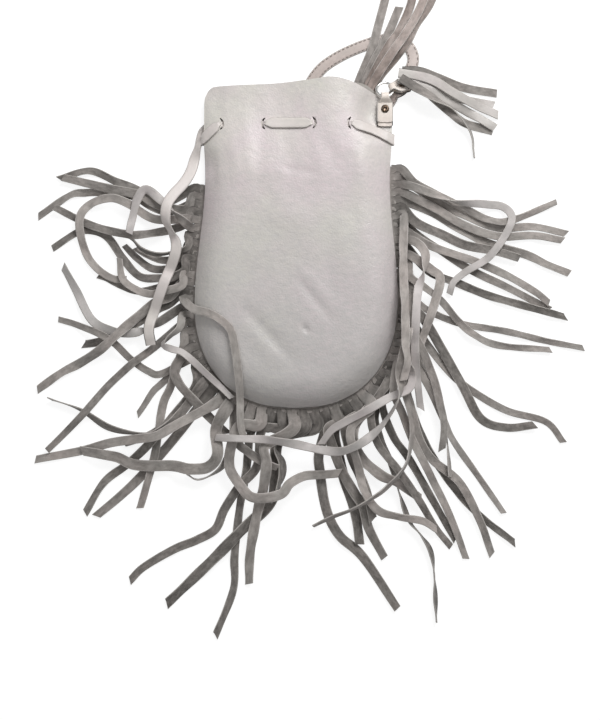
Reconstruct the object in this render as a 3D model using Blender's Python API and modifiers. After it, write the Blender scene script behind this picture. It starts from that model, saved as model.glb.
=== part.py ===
"""Fringed leather drawstring pouch with a wrist strap, lying on its back.

Lengths are in millimetres until a mesh is made, and +Y runs from the bottom of the pouch to its mouth.
The flat back rests on z = 0, with the origin under the middle of the pouch.
"""

import math
import random

import bmesh
import bpy
import numpy as np
from mathutils import Matrix, Vector

MM = 0.001

# Driving dimensions of the pouch body.
POUCH_WIDTH = 152.6
NECK_WIDTH = 138.6
MOUTH_WIDTH = 141.0
WIDEST_Y = -40.0
BOTTOM_Y = -121.5
MOUTH_Y = 115.5
BOTTOM_ROUNDNESS = 2.3
LEATHER = 1.2
GAP = 0.3
BELLY = 12.5
ROLL = 25.0
ROLL_POWER = 2.2
CORNER_TURN_IN = 7.0
CORNER_START_Y = MOUTH_Y - 21.5
CORNER_END_Y = MOUTH_Y - 3.5
MOUTH_GAPE = 9.0
MOUTH_GAPE_X = 28.0
GAPE_START_Y = MOUTH_Y - 47.5
GAPE_END_Y = MOUTH_Y - 3.5
EDGE_LIFT = 2.4
TOP_LIFT = 4.8
LIFT_START_Y = 62.0
LIFT_END_Y = 76.0
BACK_CURL = 14.0

# Drawstring, its slots and the tassels.
LACE_WIDTH = 8.0
LACE_THICKNESS = 1.2
LACE_CLEARANCE = 0.5
SLOT_Y = 91.0
SLOT_LENGTH = 11.0
SLOT_WIDTH = 2.8
FRONT_SLOTS = (-56.0, -22.5, 13.2, 41.6)
BACK_SLOTS = ((-58.0, 93.5), (58.0, 82.0))
LACE_WRAP_Y = 79.5
LACE_WRAP_REACH = 2.7
LACE_BEND = 1.7
TASSEL_WIDTH = 7.0
TASSEL_THICKNESS = 1.0

# Fringe band and strips.
FRINGE_LEFT_Y = 47.0
FRINGE_RIGHT_Y = 61.0
BAND_INSIDE = 7.0
BAND_OUTSIDE = 4.0
STRIP_WIDTH = 5.2
STRIP_THICKNESS = 1.2
STRIP_PITCH = 5.9
BOTTOM_PITCH = 7.4
STRAIGHT_ROOT = 4.5
LAY_CLEARANCE = 0.3
STRIP_STEP = 15.5
SECTION_SHARES = {
    "fringe_left_upper": 0.18,
    "fringe_left_lower": 0.34,
    "fringe_bottom": 0.64,
    "fringe_right_lower": 0.82,
    "fringe_right_upper": 1.0,
}

# Ring, tabs, rivets and wrist strap.
RING_RADIUS = 6.3
RING_WIRE = 0.9
RING_SLOPE = math.radians(28.0)
STRAP_TAB_ANGLE = math.radians(15.0)
TAB_LEATHER = 1.1
TAB_WIDTH = 12.0
FOLD_WIDTH = 6.0
FOLD_BORE = 1.95
RING_TAB_INSET = 3.1
RING_TAB_X = MOUTH_WIDTH / 2 - RING_TAB_INSET
RING_TAB_FOLD_Y = 111.6
RING_TAB_RIVET_Y = 102.5
RING_TAB_LENGTH = 19.0
RING_TAB_BACK_LENGTH = 22.0
STRAP_TAB_LENGTH = 12.5
STRAP_TAB_RIVET = 7.6
RIVET_CAP = 3.0
RIVET_CAP_HEIGHT = 1.0
RIVET_SHANK = 1.0
STRAP_WIDTH = 9.0
STRAP_THICKNESS = 1.4

# Where photo pixels lie on the table, for the routes of the soft pieces.
MM_PER_PIXEL = 0.75
PIXEL_X0 = 295.0
PIXEL_Y0 = 246.0

# Routes of the fringe strips in photo pixels, from the seam to the tip. The first number is the layer,
# from 0 (under) to 4 (over), and the second the turn of the strip about its own length, in degrees.
STRIP_ROUTES = (
    (0, 0, ((205, 186), (190, 192), (168, 201), (154, 199), (133, 187), (116, 181), (89, 170), (58, 178))),
    (1, 0, ((204, 194), (186, 209), (165, 207), (152, 202), (140, 195), (108, 188), (62, 177))),
    (0, 0, ((203, 203), (190, 211), (163, 211), (133, 196), (109, 192), (84, 192), (68, 195), (37, 216))),
    (1, 0, ((202, 212), (186, 223), (171, 229), (140, 235), (125, 234), (91, 225), (54, 207))),
    (2, 0, ((200, 222), (182, 226), (155, 219), (127, 203), (109, 198), (88, 205), (79, 221), (84, 250),
            (95, 267), (112, 278), (126, 279))),
    (3, 180, ((199, 230), (180, 221), (165, 204), (147, 190), (138, 199), (134, 213), (130, 234))),
    (1, 70, ((198, 238), (188, 247), (174, 252), (156, 254), (142, 249), (133, 240), (120, 232))),
    (0, 0, ((195, 258), (185, 270), (172, 277), (160, 278), (139, 276), (122, 258), (107, 237), (91, 230),
            (76, 232), (51, 248))),
    (2, 0, ((194, 275), (182, 286), (160, 292), (150, 294), (135, 289), (122, 278), (119, 258))),
    (1, 0, ((193.5, 284), (182, 288), (170, 296), (154, 303), (128, 325), (103, 348), (81, 362), (60, 373),
            (36, 390))),
    (4, 20, ((193.5, 296), (184, 303), (194, 309), (208, 313), (221, 320), (231, 330), (235, 345),
             (238, 366), (240, 390), (241, 423), (245, 440))),
    (0, 180, ((193.5, 304), (180, 314), (150, 327), (130, 333), (112, 331), (91, 320), (75, 290), (62, 266))),
    (4, 180, ((193.5, 314), (180, 328), (168, 338), (163, 345), (172, 349), (185, 354), (209, 376),
              (232, 398))),
    (2, 0, ((194, 323), (181, 333), (150, 350), (130, 365), (106, 387), (84, 413), (63, 434), (46, 451))),
    (1, 0, ((196, 332), (184, 345), (179, 360), (170, 387), (162, 406), (155, 452), (141, 503), (139, 509))),
    (2, 0, ((200, 342), (186, 352), (175, 368), (179, 383), (194, 400), (212, 420), (227, 434))),
    (0, 0, ((205, 356), (190, 368), (161, 374), (147, 371), (130, 359), (109, 339), (77, 325), (57, 319))),
    (1, 0, ((209, 363), (196, 385), (170, 420), (148, 445), (126, 465), (103, 483), (84, 514))),
    (1, 60, ((214, 371), (200, 392), (180, 414), (160, 428), (142, 433), (109, 428), (80, 410), (49, 399))),
    (0, 0, ((218, 376), (203, 400), (175, 437), (142, 475), (119, 497), (95, 517))),
    (2, 0, ((222, 379), (204, 402), (178, 424), (158, 435), (140, 438), (110, 443), (81, 451), (34, 460))),
    (3, 0, ((228, 384), (222, 405), (216, 430), (218, 454), (208, 467), (190, 469), (173, 466), (135, 465),
            (115, 457), (81, 451))),
    (2, 70, ((236, 390), (232, 420), (231, 448), (222, 467), (208, 477), (196, 480), (186, 474))),
    (2, 0, ((243, 395), (240, 420), (238, 441), (248, 452), (262, 461), (278, 467))),
    (3, 0, ((250, 398), (240, 425), (231, 448), (230, 468), (240, 485), (251, 496), (266, 497), (282, 493),
            (290, 483), (304, 476), (320, 475), (340, 473))),
    (0, 0, ((258, 401), (252, 430), (246, 470), (240, 505), (236, 538), (234, 560), (233, 591), (215, 637))),
    (1, 0, ((264, 403), (262, 430), (257, 466), (239, 487), (224, 510), (215, 530), (196, 541), (174, 550),
            (143, 568), (129, 582))),
    (2, 0, ((268, 405), (266, 445), (267, 461), (265, 478), (262, 495), (258, 510), (250, 553), (249, 585))),
    (1, 70, ((275, 407), (276, 445), (282, 462), (282, 476), (277, 489), (273, 500))),
    (0, 0, ((281, 407), (279, 440), (276, 475), (270, 504), (242, 530), (212, 561), (166, 605))),
    (0, 0, ((312, 406), (316, 430), (319, 454), (320, 472), (324, 500), (330, 520), (341, 538), (364, 559),
            (398, 610))),
    (1, 0, ((322, 404), (328, 430), (336, 456), (344, 475), (355, 494), (363, 507), (369, 529), (385, 559))),
    (0, 0, ((330, 401), (334, 430), (342, 470), (350, 495), (356, 515), (360, 545))),
    (1, 0, ((340, 397), (345, 425), (352, 457), (361, 478), (368, 497), (373, 520))),
    (2, 0, ((345, 395), (350, 430), (358, 465), (364, 490), (378, 510), (399, 517), (422, 521), (437, 530))),
    (1, 0, ((351, 392), (354, 425), (358, 453), (379, 474), (399, 483), (422, 500))),
    (0, 70, ((362, 384), (375, 420), (390, 460), (400, 495), (410, 522), (422, 537), (433, 560), (437, 623))),
    (1, 0, ((370, 377), (371, 410), (377, 442), (399, 471), (419, 500), (436, 528), (452, 548))),
    (0, 0, ((378, 369), (382, 400), (393, 435), (410, 460), (433, 500), (456, 541))),
    (2, 0, ((385, 360), (393, 390), (403, 415), (414, 443), (433, 480), (452, 520), (467, 560))),
    (3, 60, ((389, 353), (398, 372), (404, 392), (411, 420), (411, 440), (405, 464), (387, 486), (370, 498),
             (351, 509), (332, 517), (313, 527))),
    (4, 180, ((391, 348), (399, 368), (399, 392), (392, 409), (380, 426), (364, 440), (342, 450), (320, 449),
              (293, 443), (266, 439), (244, 438), (216, 437))),
    (1, 0, ((393, 342), (401, 375), (410, 403), (419, 437), (433, 460), (460, 483), (480, 520), (493, 556))),
    (3, 180, ((395, 336), (404, 352), (411, 372), (408, 388), (387, 398), (364, 411), (343, 422),
              (331, 430), (321, 444))),
    (0, 0, ((396, 328), (404, 370), (414, 415), (432, 455), (455, 488), (478, 514), (516, 544))),
    (2, 0, ((397, 320), (412, 352), (430, 390), (443, 418), (453, 440), (475, 471), (505, 514))),
    (1, 70, ((397, 310), (412, 340), (428, 375), (441, 408), (447, 434), (450, 477))),
    (2, 0, ((396.5, 300), (410, 325), (424, 355), (434, 380), (440, 405), (444, 425), (442, 450))),
    (0, 0, ((396, 292), (412, 318), (432, 350), (452, 374), (473, 391), (508, 411), (547, 422), (565, 443))),
    (1, 0, ((396, 284), (410, 302), (424, 320), (437, 340), (462, 384), (482, 419), (508, 428), (536, 425))),
    (0, 0, ((395, 272), (410, 293), (422, 306), (436, 314), (464, 324), (506, 331), (548, 341), (585, 348))),
    (1, 0, ((395, 262), (410, 277), (425, 288), (442, 301), (459, 321), (475, 335), (499, 345), (552, 350))),
    (2, 0, ((395, 252), (415, 263), (432, 270), (440, 278), (436, 298), (429, 318), (420, 345))),
    (0, 0, ((395, 242), (408, 256), (430, 271), (459, 283), (492, 296), (527, 306), (567, 317))),
    (3, 180, ((394, 232), (405, 238), (418, 244), (425, 256), (422, 275), (416, 297), (414, 346),
              (417, 380), (421, 409))),
    (1, 0, ((394, 222), (405, 230), (430, 245), (455, 254), (478, 262), (506, 274), (534, 290), (550, 303))),
    (0, 0, ((393.5, 214), (403, 225), (420, 236), (443, 251), (471, 269), (506, 286), (551, 309))),
    (4, 10, ((393, 205), (401, 210), (404, 222), (403, 250), (403, 276), (404, 320), (404, 346), (406, 361),
             (402, 380))),
    (1, 0, ((392.5, 197), (403, 211), (416, 222), (443, 234), (467, 245), (492, 250), (520, 258))),
    (0, 0, ((392, 189), (410, 199), (432, 211), (467, 232), (492, 244), (527, 254), (548, 264), (571, 273))),
    (2, 0, ((391.5, 181), (405, 190), (432, 206), (467, 226), (500, 236), (534, 235), (564, 240))),
    (3, 180, ((391, 176), (420, 189), (455, 202), (485, 204), (503, 206), (512, 217), (506, 234),
              (489, 257), (467, 271), (454, 282), (450, 294))),
    (1, 0, ((391, 171), (405, 179), (432, 197), (464, 214), (499, 227), (534, 226), (568, 233))),
    (2, 0, ((391, 166), (415, 182), (440, 195), (467, 209), (489, 219), (512, 220), (558, 201))),
)
FILLER_REACH = 0.72

# Route of the lace's free left end, in photo pixels, from where it leaves the pouch's edge.
LACE_TAIL = ((203, 131), (199.5, 140), (195, 155), (191, 171), (184, 184), (174, 196), (168, 207),
             (167, 222), (172, 233), (177, 246), (174, 260), (164, 284), (155, 309), (149, 328), (151, 345))
# Route of the wrist strap from its lower end in the tab, under the pouch, round and back into the tab, in
# photo pixels, with the height of its middle in millimetres.
STRAP_ROUTE = ((394.5, 93.5, 4.6), (391, 99, 3.0), (386.5, 106, 1.5), (379, 115, 1.1), (364, 123, 1.0),
               (346, 127, 1.0), (329, 125, 1.0), (316, 117, 1.0), (309, 105, 1.0), (308, 91, 1.0),
               (313, 78, 1.0), (324, 65, 1.0), (340, 54.5, 1.0), (356, 47, 1.0), (371, 41.5, 1.0),
               (386, 38, 1.0), (399, 39, 1.0), (409, 45, 1.2), (413.5, 54, 1.6), (413, 63, 2.4))
# Strips of the tassels in photo pixels, with their layer order, from the head outwards.
TASSEL_1 = (
    ((354, 96), (361, 76), (370, 54), (374.5, 41), (378.5, 25), (385, 0), (390, -22), (392, -40)),
    ((368, 97), (380, 75), (395, 57), (408, 40), (417, 22), (430, 3), (441, -24), (449, -48)),
    ((359, 97), (368, 73), (383, 44), (391, 27), (400, 5)),
    ((364, 97), (370, 80), (387, 48), (400, 29), (411, 4), (416, -18), (428, -44)),
)
TASSEL_2 = (
    ((402, 78), (420, 86), (433, 97), (450, 110), (466, 122), (494, 130)),
    ((402, 72), (418, 72), (439, 78), (468, 87), (498, 92)),
    ((400, 76), (426, 83), (448, 93), (468, 99), (495, 104)),
    ((398, 80), (412, 84), (430, 92), (454, 104), (476, 115), (496, 127)),
    ((398, 74), (413, 76), (432, 82), (454, 94), (476, 104), (499, 114)),
    ((400, 79), (430, 98), (452, 110), (467, 125), (473, 137), (474, 148), (475, 157)),
)


def smooth(low, high, value):
    """Rises from 0 at low to 1 at high, level at both ends."""
    t = np.clip((value - low) / (high - low), 0.0, 1.0)
    return t * t * (3.0 - 2.0 * t)


def on_table(pixel_x, pixel_y):
    """Place on the table, in millimetres, of a photo pixel."""
    return (pixel_x - PIXEL_X0) * MM_PER_PIXEL, (PIXEL_Y0 - pixel_y) * MM_PER_PIXEL


def unit(vector):
    return vector / np.linalg.norm(vector)


# The pouch's outline and surfaces.


def centre_x(y):
    """The middle of the outline leans a little to the right towards the mouth."""
    return 2.5 * (y - BOTTOM_Y) / (MOUTH_Y - BOTTOM_Y)


def half_width(y):
    """Half the pouch's width: a round bottom, a slight waist and a straight mouth."""
    depth = np.clip((WIDEST_Y - y) / (WIDEST_Y - BOTTOM_Y), 0.0, 1.0)
    bowl = POUCH_WIDTH / 2 * (1.0 - depth**BOTTOM_ROUNDNESS) ** (1.0 / BOTTOM_ROUNDNESS)
    neck = (POUCH_WIDTH - NECK_WIDTH) / 2 * smooth(WIDEST_Y, 50.0, y)
    mouth = (MOUTH_WIDTH - NECK_WIDTH) / 2 * smooth(50.0, 85.0, y)
    return bowl - neck + mouth


def left_x(y):
    return centre_x(y) - half_width(y)


def right_x(y):
    """The right edge turns in at the corner of the mouth, under the ring's tab."""
    return centre_x(y) + half_width(y) - CORNER_TURN_IN * smooth(CORNER_START_Y, CORNER_END_Y, y)


def outline():
    """The sewn edge as points about 1 mm apart, down the left side, round the bottom and up the right."""
    side = np.linspace(MOUTH_Y, WIDEST_Y, 157)[:-1]
    bowl = WIDEST_Y + (BOTTOM_Y - WIDEST_Y) * np.sin(np.linspace(0.0, math.pi / 2, 130))
    y = np.concatenate([side, bowl])
    left = np.stack([left_x(y), y], axis=1)
    right = np.stack([right_x(y), y], axis=1)[::-1][1:]
    points = np.concatenate([left, right])
    steps = np.linalg.norm(np.diff(points, axis=0), axis=1)
    length = np.concatenate([[0.0], np.cumsum(steps)])
    even = np.linspace(0.0, length[-1], int(length[-1]))
    return np.stack([np.interp(even, length, points[:, axis]) for axis in (0, 1)], axis=1)


OUTLINE = outline()


def edge_distance(x, y):
    """How far each point is from the sewn edge."""
    x, y = np.broadcast_arrays(np.asarray(x, float), np.asarray(y, float))
    flat = np.stack([x.ravel(), y.ravel()], axis=1)
    found = np.empty(len(flat))
    for start in range(0, len(flat), 4000):
        part = flat[start : start + 4000]
        apart = part[:, None, :] - OUTLINE[None, :, :]
        found[start : start + 4000] = np.sqrt((apart**2).sum(axis=2).min(axis=1))
    return found.reshape(x.shape)


def edge_lift(y):
    """Height of the back panel's underside at the sewn edge."""
    return EDGE_LIFT + (TOP_LIFT - EDGE_LIFT) * smooth(LIFT_START_Y, LIFT_END_Y, y)


def back_under(x, y):
    """Underside of the back panel: flat on the table, lifted at its edge and towards the mouth."""
    lift = TOP_LIFT * smooth(LIFT_START_Y - 12.0, LIFT_END_Y - 2.0, y)
    curl = (1.0 - np.clip(edge_distance(x, y) / BACK_CURL, 0.0, 1.0)) ** 2
    return lift + (edge_lift(y) - lift) * curl


def seam_gap(x, y):
    """Space between the panels at the seam, wide enough for the fringe band below its upper ends."""
    band_end = np.interp(x, (-70.0, 70.0), (FRINGE_LEFT_Y, FRINGE_RIGHT_Y))
    return GAP + (STRIP_THICKNESS + GAP) * (1.0 - smooth(1.5, 13.0, y - band_end))


def belly(x, y):
    """How far the front panel stands up over its edge."""
    gape = 3.0 + MOUTH_GAPE * np.exp(-((x / MOUTH_GAPE_X - 1.0) ** 2))
    rise = BELLY + (gape - BELLY) * smooth(GAPE_START_Y, GAPE_END_Y, y)
    reach = ((x - RING_TAB_X) ** 2 + (y - RING_TAB_RIVET_Y + 3.5) ** 2) / 18.0**2
    return rise * (1.0 - np.exp(-(reach**2)))


def front_under(x, y):
    """Underside of the front panel, rolled over at the seam and slightly domed in the middle."""
    inward = np.clip(edge_distance(x, y) / ROLL, 0.0, 1.0)
    roll = 1.0 - (1.0 - inward) ** ROLL_POWER
    return edge_lift(y) + LEATHER + seam_gap(x, y) + belly(x, y) * roll


def front_normal(x, y):
    """Unit normal of the front panel at one point."""
    step = 1.0
    slope_x = (front_under(x + step, y) - front_under(x - step, y)) / (2 * step)
    slope_y = (front_under(x, y + step) - front_under(x, y - step)) / (2 * step)
    return unit(np.array([-float(slope_x), -float(slope_y), 1.0]))


def on_front(x, y, height):
    """Point at this height over the front panel's underside, measured along the panel's normal."""
    return np.array([x, y, float(front_under(x, y))]) + front_normal(x, y) * height


def lace_on_front(x, y, height):
    """A point of the lace beside the front panel, with the direction across the lace."""
    normal = front_normal(x, y)
    return np.concatenate([on_front(x, y, height), (0.0, normal[2], -normal[1])])


def lace_flat(x, y, z):
    """A point of the lace where it lies level, with the direction across it."""
    return np.array([x, y, z, 0.0, 1.0, 0.0])


def front_rim(share):
    """Height of the front panel's rim across the mouth, from its left end to its right end."""
    return np.interp(share, (0.0, 0.06, 0.4, 0.6, 0.71, 0.83, 1.0),
                     (MOUTH_Y, 119.2, 121.5, 124.0, 125.4, 121.5, 110.5))


def back_rim(share):
    """The back panel's rim shows a little above the front one near the right of the mouth."""
    return front_rim(share) + 3.0 * np.exp(-(((share - 0.92) / 0.09) ** 2)) - 0.6


# Mesh helpers.


def material(name, colour, roughness, metallic=0.0):
    made = bpy.data.materials.new(name)
    made.use_nodes = True
    shader = made.node_tree.nodes["Principled BSDF"]
    shader.inputs["Base Color"].default_value = (*colour, 1.0)
    shader.inputs["Roughness"].default_value = roughness
    shader.inputs["Metallic"].default_value = metallic
    return made


def add_object(name, shape, finish, collection, origin=(0.0, 0.0, 0.0)):
    """Makes an object of a bmesh given in millimetres, with its origin at a point given in millimetres."""
    bmesh.ops.translate(shape, verts=shape.verts, vec=[-value for value in origin])
    bmesh.ops.scale(shape, verts=shape.verts, vec=(MM, MM, MM))
    bmesh.ops.recalc_face_normals(shape, faces=shape.faces)
    mesh = bpy.data.meshes.new(name)
    shape.to_mesh(mesh)
    shape.free()
    obj = bpy.data.objects.new(name, mesh)
    obj.location = [value * MM for value in origin]
    if finish:
        mesh.materials.append(finish)
    collection.objects.link(obj)
    return obj


def add_cutter(name, shape, target, operation="DIFFERENCE"):
    cutter = add_object(name, shape, None, CUTTERS)
    cutter.hide_render = True
    cutter.display_type = "WIRE"
    modifier = target.modifiers.new(name, "BOOLEAN")
    modifier.operation = operation
    modifier.solver = "EXACT"
    modifier.object = cutter
    return cutter


def loft(shape, rings, first=None, cap_start=True):
    """Joins rings of points, each in the same order, into a tube with closed ends."""
    made = []
    if first is not None:
        made.append(first)
    for ring in rings:
        made.append([shape.verts.new(point) for point in ring])
    for one, two in zip(made, made[1:]):
        count = len(one)
        for i in range(count):
            j = (i + 1) % count
            shape.faces.new((one[i], one[j], two[j], two[i]))
    if cap_start:
        shape.faces.new(made[0][::-1])
    shape.faces.new(made[-1])


def tangents(points):
    ahead = np.empty_like(points)
    ahead[1:-1] = points[2:] - points[:-2]
    ahead[0] = points[1] - points[0]
    ahead[-1] = points[-1] - points[-2]
    return ahead / np.linalg.norm(ahead, axis=1)[:, None]


def ribbon_rings(points, widths, thickness, turns=None, across=None):
    """Rectangles across a strip's middle line. Without a given across direction the strip lies flat."""
    ahead = tangents(points)
    if across is None:
        side = np.cross(ahead, (0.0, 0.0, 1.0))
    else:
        side = across - (across * ahead).sum(axis=1)[:, None] * ahead
    side /= np.linalg.norm(side, axis=1)[:, None]
    up = np.cross(side, ahead)
    turn = np.zeros(len(points)) if turns is None else np.asarray(turns)
    cos, sin = np.cos(turn)[:, None], np.sin(turn)[:, None]
    side, up = side * cos + up * sin, up * cos - side * sin
    half = side * np.asarray(widths)[:, None] / 2
    rise = up * thickness / 2
    return np.stack([points + half + rise, points - half + rise, points - half - rise, points + half - rise],
                    axis=1)


def spline(points, step):
    """Evenly spaced points on a smooth curve through the given ones."""
    points = np.asarray(points, float)
    padded = np.concatenate([[2 * points[0] - points[1]], points, [2 * points[-1] - points[-2]]])
    dense = []
    t = np.linspace(0.0, 1.0, 12, endpoint=False)[:, None]
    for a, b, c, d in zip(padded, padded[1:], padded[2:], padded[3:]):
        bend = 2 * a - 5 * b + 4 * c - d
        twist = 3 * b - a - 3 * c + d
        dense.append(0.5 * (2 * b + (c - a) * t + bend * t**2 + twist * t**3))
    dense = np.concatenate(dense + [points[-1:]])
    length = np.concatenate([[0.0], np.cumsum(np.linalg.norm(np.diff(dense, axis=0), axis=1))])
    count = max(3, int(round(length[-1] / step)) + 1)
    even = np.linspace(0.0, length[-1], count)
    return np.stack([np.interp(even, length, column) for column in dense.T], axis=1)


def rounded(corners, radius):
    """Replaces each inner corner of a path by a short arc. Each row is a place and its across direction."""
    corners = np.asarray(corners, float)
    made = [corners[0]]
    for before, here, after in zip(corners, corners[1:], corners[2:]):
        back, on = before[:3] - here[:3], after[:3] - here[:3]
        lengths = np.linalg.norm(back), np.linalg.norm(on)
        bend = math.pi - math.acos(np.clip(unit(back) @ unit(on), -1.0, 1.0))
        if bend < 0.12:
            made.append(here)
            continue
        cut = min(radius * math.tan(bend / 2), 0.49 * lengths[0], 0.49 * lengths[1])
        start = here[:3] + unit(back) * cut
        end = here[:3] + unit(on) * cut
        steps = max(1, int(math.ceil(bend / 0.8)))
        for t in np.linspace(0.0, 1.0, steps + 1):
            place = start * (1 - t) ** 2 + 2 * here[:3] * t * (1 - t) + end * t**2
            made.append(np.concatenate([place, here[3:]]))
    made.append(corners[-1])
    return np.array(made)


# What lies on the table, so that each soft strip can be laid over what is already there.


class Heap:
    """Height of everything laid so far, on a square grid over the table."""

    CELL = 0.5
    LOW = np.array([-230.0, -320.0])
    HIGH = np.array([240.0, 240.0])

    def __init__(self):
        self.shape = tuple(((self.HIGH - self.LOW) / self.CELL).astype(int))
        self.top = np.zeros(self.shape)

    def cells(self, places, radius):
        """Indices of the grid cells within a radius of each place."""
        reach = int(math.ceil(radius / self.CELL))
        span = np.arange(-reach, reach + 1)
        grid = np.stack(np.meshgrid(span, span, indexing="ij"), axis=-1).reshape(-1, 2)
        grid = grid[(grid**2).sum(axis=1) * self.CELL**2 <= radius**2]
        centre = np.round((places - self.LOW) / self.CELL).astype(int)
        found = centre[:, None, :] + grid[None, :, :]
        return np.clip(found, 0, np.array(self.shape) - 1)

    def under(self, places, radius):
        """Greatest height under a disc round each place."""
        found = self.cells(places, radius)
        return self.top[found[..., 0], found[..., 1]].max(axis=1)

    def stamp(self, places, radius, heights):
        found = self.cells(places, radius)
        level = np.broadcast_to(heights[:, None], found.shape[:2])
        np.maximum.at(self.top, (found[..., 0], found[..., 1]), level)

    def add_pouch(self):
        """Adds the front panel's top and the fringe band beside the seam."""
        x = np.arange(-84.0, 88.0, 1.0)
        y = np.arange(-130.0, 128.0, 1.0)
        grid_x, grid_y = np.meshgrid(x, y, indexing="ij")
        inside = (grid_x > left_x(grid_y)) & (grid_x < right_x(grid_y)) & (grid_y > BOTTOM_Y)
        apart = edge_distance(grid_x, grid_y)
        top = front_under(grid_x, grid_y) + LEATHER * 1.5
        low_side = grid_y < np.where(grid_x < 0, FRINGE_LEFT_Y, FRINGE_RIGHT_Y)
        band = np.where(low_side & (apart < BAND_OUTSIDE), EDGE_LIFT + 2 * LEATHER + GAP + 0.3, 0.0)
        rim = np.where(apart < 2.0, edge_lift(grid_y) + 3 * LEATHER + 0.6, 0.0)
        top = np.where(inside, top, np.maximum(band, rim))
        first = np.round((np.array([x[0], y[0]]) - self.LOW) / self.CELL).astype(int)
        fine = np.repeat(np.repeat(top, 2, axis=0), 2, axis=1)
        part = (slice(first[0], first[0] + fine.shape[0]), slice(first[1], first[1] + fine.shape[1]))
        self.top[part] = np.maximum(self.top[part], fine)

    def lay(self, path, width, thickness, turns, fixed=0, clearance=LAY_CLEARANCE, skip=3.4, least=0.0):
        """Lays a strip over the heap and returns the height of each point of its path.

        The first points may be fixed: their heights, given in fixed, stay, and skip is the length at the
        start that isn't tested against what lies there.
        """
        known = np.atleast_1d(fixed).astype(float) if np.ndim(fixed) else np.zeros(0)
        steps = np.linalg.norm(np.diff(path, axis=0), axis=1)
        length = np.concatenate([[0.0], np.cumsum(steps)])
        along = np.arange(0.0, length[-1], 0.8)
        places = np.stack([np.interp(along, length, column) for column in path.T], axis=1)
        turn = np.interp(along, length, turns)
        wide = (width * np.abs(np.cos(turn)) + thickness * np.abs(np.sin(turn))) / 2
        tall = (width * np.abs(np.sin(turn)) + thickness * np.abs(np.cos(turn))) / 2
        need = np.maximum(least, self.under(places, float(wide.max()) + 0.15)) + tall + clearance
        need[along < skip * (len(known) > 0)] = 0.0
        segment = np.clip(np.searchsorted(length, along, side="right") - 1, 0, len(steps) - 1)
        heights = np.full(len(path), 0.0)
        np.maximum.at(heights, segment, need)
        np.maximum.at(heights, segment + 1, need)
        heights[: len(known)] = known
        middle = np.interp(along, length, heights)
        slope = np.abs(np.gradient(middle, 0.8))
        top = middle + tall * np.sqrt(1.0 + slope**2) + 0.05 + 0.4 * slope
        self.stamp(places, float(wide.max()) + 0.15, top)
        return heights


# Fringe.


def seam_stretch():
    """The stretch of the seam that holds the fringe: points, outward directions and lengths along it."""
    left = int(np.argmax(OUTLINE[:, 1] < FRINGE_LEFT_Y))
    right = len(OUTLINE) - int(np.argmax(OUTLINE[::-1, 1] < FRINGE_RIGHT_Y))
    points = OUTLINE[left:right]
    ahead = tangents(points)
    outward = np.stack([ahead[:, 1], -ahead[:, 0]], axis=1)
    length = np.concatenate([[0.0], np.cumsum(np.linalg.norm(np.diff(points, axis=0), axis=1))])
    return points, outward, length


SEAM, SEAM_OUTWARD, SEAM_LENGTH = seam_stretch()


def on_seam(length, offset):
    """Point at this length along the fringed seam, moved outward."""
    place = np.array([np.interp(length, SEAM_LENGTH, column) for column in SEAM.T])
    outward = unit(np.array([np.interp(length, SEAM_LENGTH, column) for column in SEAM_OUTWARD.T]))
    return place + outward * offset


def strip_roots():
    """Middle and width of each strip's root along the seam, wider apart round the bottom."""
    pitch = STRIP_PITCH + (BOTTOM_PITCH - STRIP_PITCH) * smooth(-80.0, -112.0, SEAM[:, 1])
    density = 1.0 / pitch
    counted = np.concatenate([[0.0], np.cumsum((density[1:] + density[:-1]) / 2 * np.diff(SEAM_LENGTH))])
    total = int(counted[-1])
    middles = np.interp((np.arange(total) + 0.5) * counted[-1] / total, counted, SEAM_LENGTH)
    pitches = np.interp(middles, SEAM_LENGTH, pitch)
    return middles, pitches - (STRIP_PITCH - STRIP_WIDTH)


def assign_routes(middles):
    """Gives each route the free root nearest to its first point, in order along the seam."""
    wanted = []
    for layer, turn, route in STRIP_ROUTES:
        start = np.array(on_table(*route[0]))
        nearest = SEAM_LENGTH[np.argmin(((SEAM - start) ** 2).sum(axis=1))]
        wanted.append((float(nearest), layer, turn, route))
    wanted.sort(key=lambda entry: entry[0])
    slots = [int(np.argmin(np.abs(middles - entry[0]))) for entry in wanted]
    for i in range(1, len(slots)):
        slots[i] = max(slots[i], slots[i - 1] + 1)
    slots[-1] = min(slots[-1], len(middles) - 1)
    for i in range(len(slots) - 2, -1, -1):
        slots[i] = min(slots[i], slots[i + 1] - 1)
    return {slot: entry[1:] for slot, entry in zip(slots, wanted)}


def strip_path(middle, route):
    """Middle line of a strip on the table, straight at its root."""
    root = on_seam(middle, BAND_OUTSIDE)
    start = on_seam(middle, BAND_OUTSIDE + STRAIGHT_ROOT)
    rest = [np.array(on_table(*pixel)) for pixel in route[1:]]
    rest = [place for place in rest if np.linalg.norm(place - start) > 5.0]
    return np.concatenate([[root], spline([start] + rest, STRIP_STEP)])


def filler_path(slot, middles, paths):
    """A strip that no route names lies between its neighbours, and ends short of them."""
    before = max((k for k in paths if k < slot), default=min(paths))
    after = min((k for k in paths if k > slot), default=max(paths))
    share = 0.5 if before == after else (slot - before) / (after - before)
    t = np.linspace(0.0, FILLER_REACH, 12)
    blend = 0.0
    for k, weight in ((before, 1.0 - share), (after, share)):
        path = paths[k][1:] - paths[k][1]
        length = np.linspace(0.0, 1.0, len(path))
        blend = blend + weight * np.stack([np.interp(t, length, column) for column in path.T], axis=1)
    root = on_seam(middles[slot], BAND_OUTSIDE)
    start = on_seam(middles[slot], BAND_OUTSIDE + STRAIGHT_ROOT)
    return np.concatenate([[root], spline(start + blend, STRIP_STEP)])


def band_height(y):
    """Height of the middle of the fringe band, between the two panels' edges."""
    return float(edge_lift(y)) + LEATHER + GAP + STRIP_THICKNESS / 2


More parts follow.
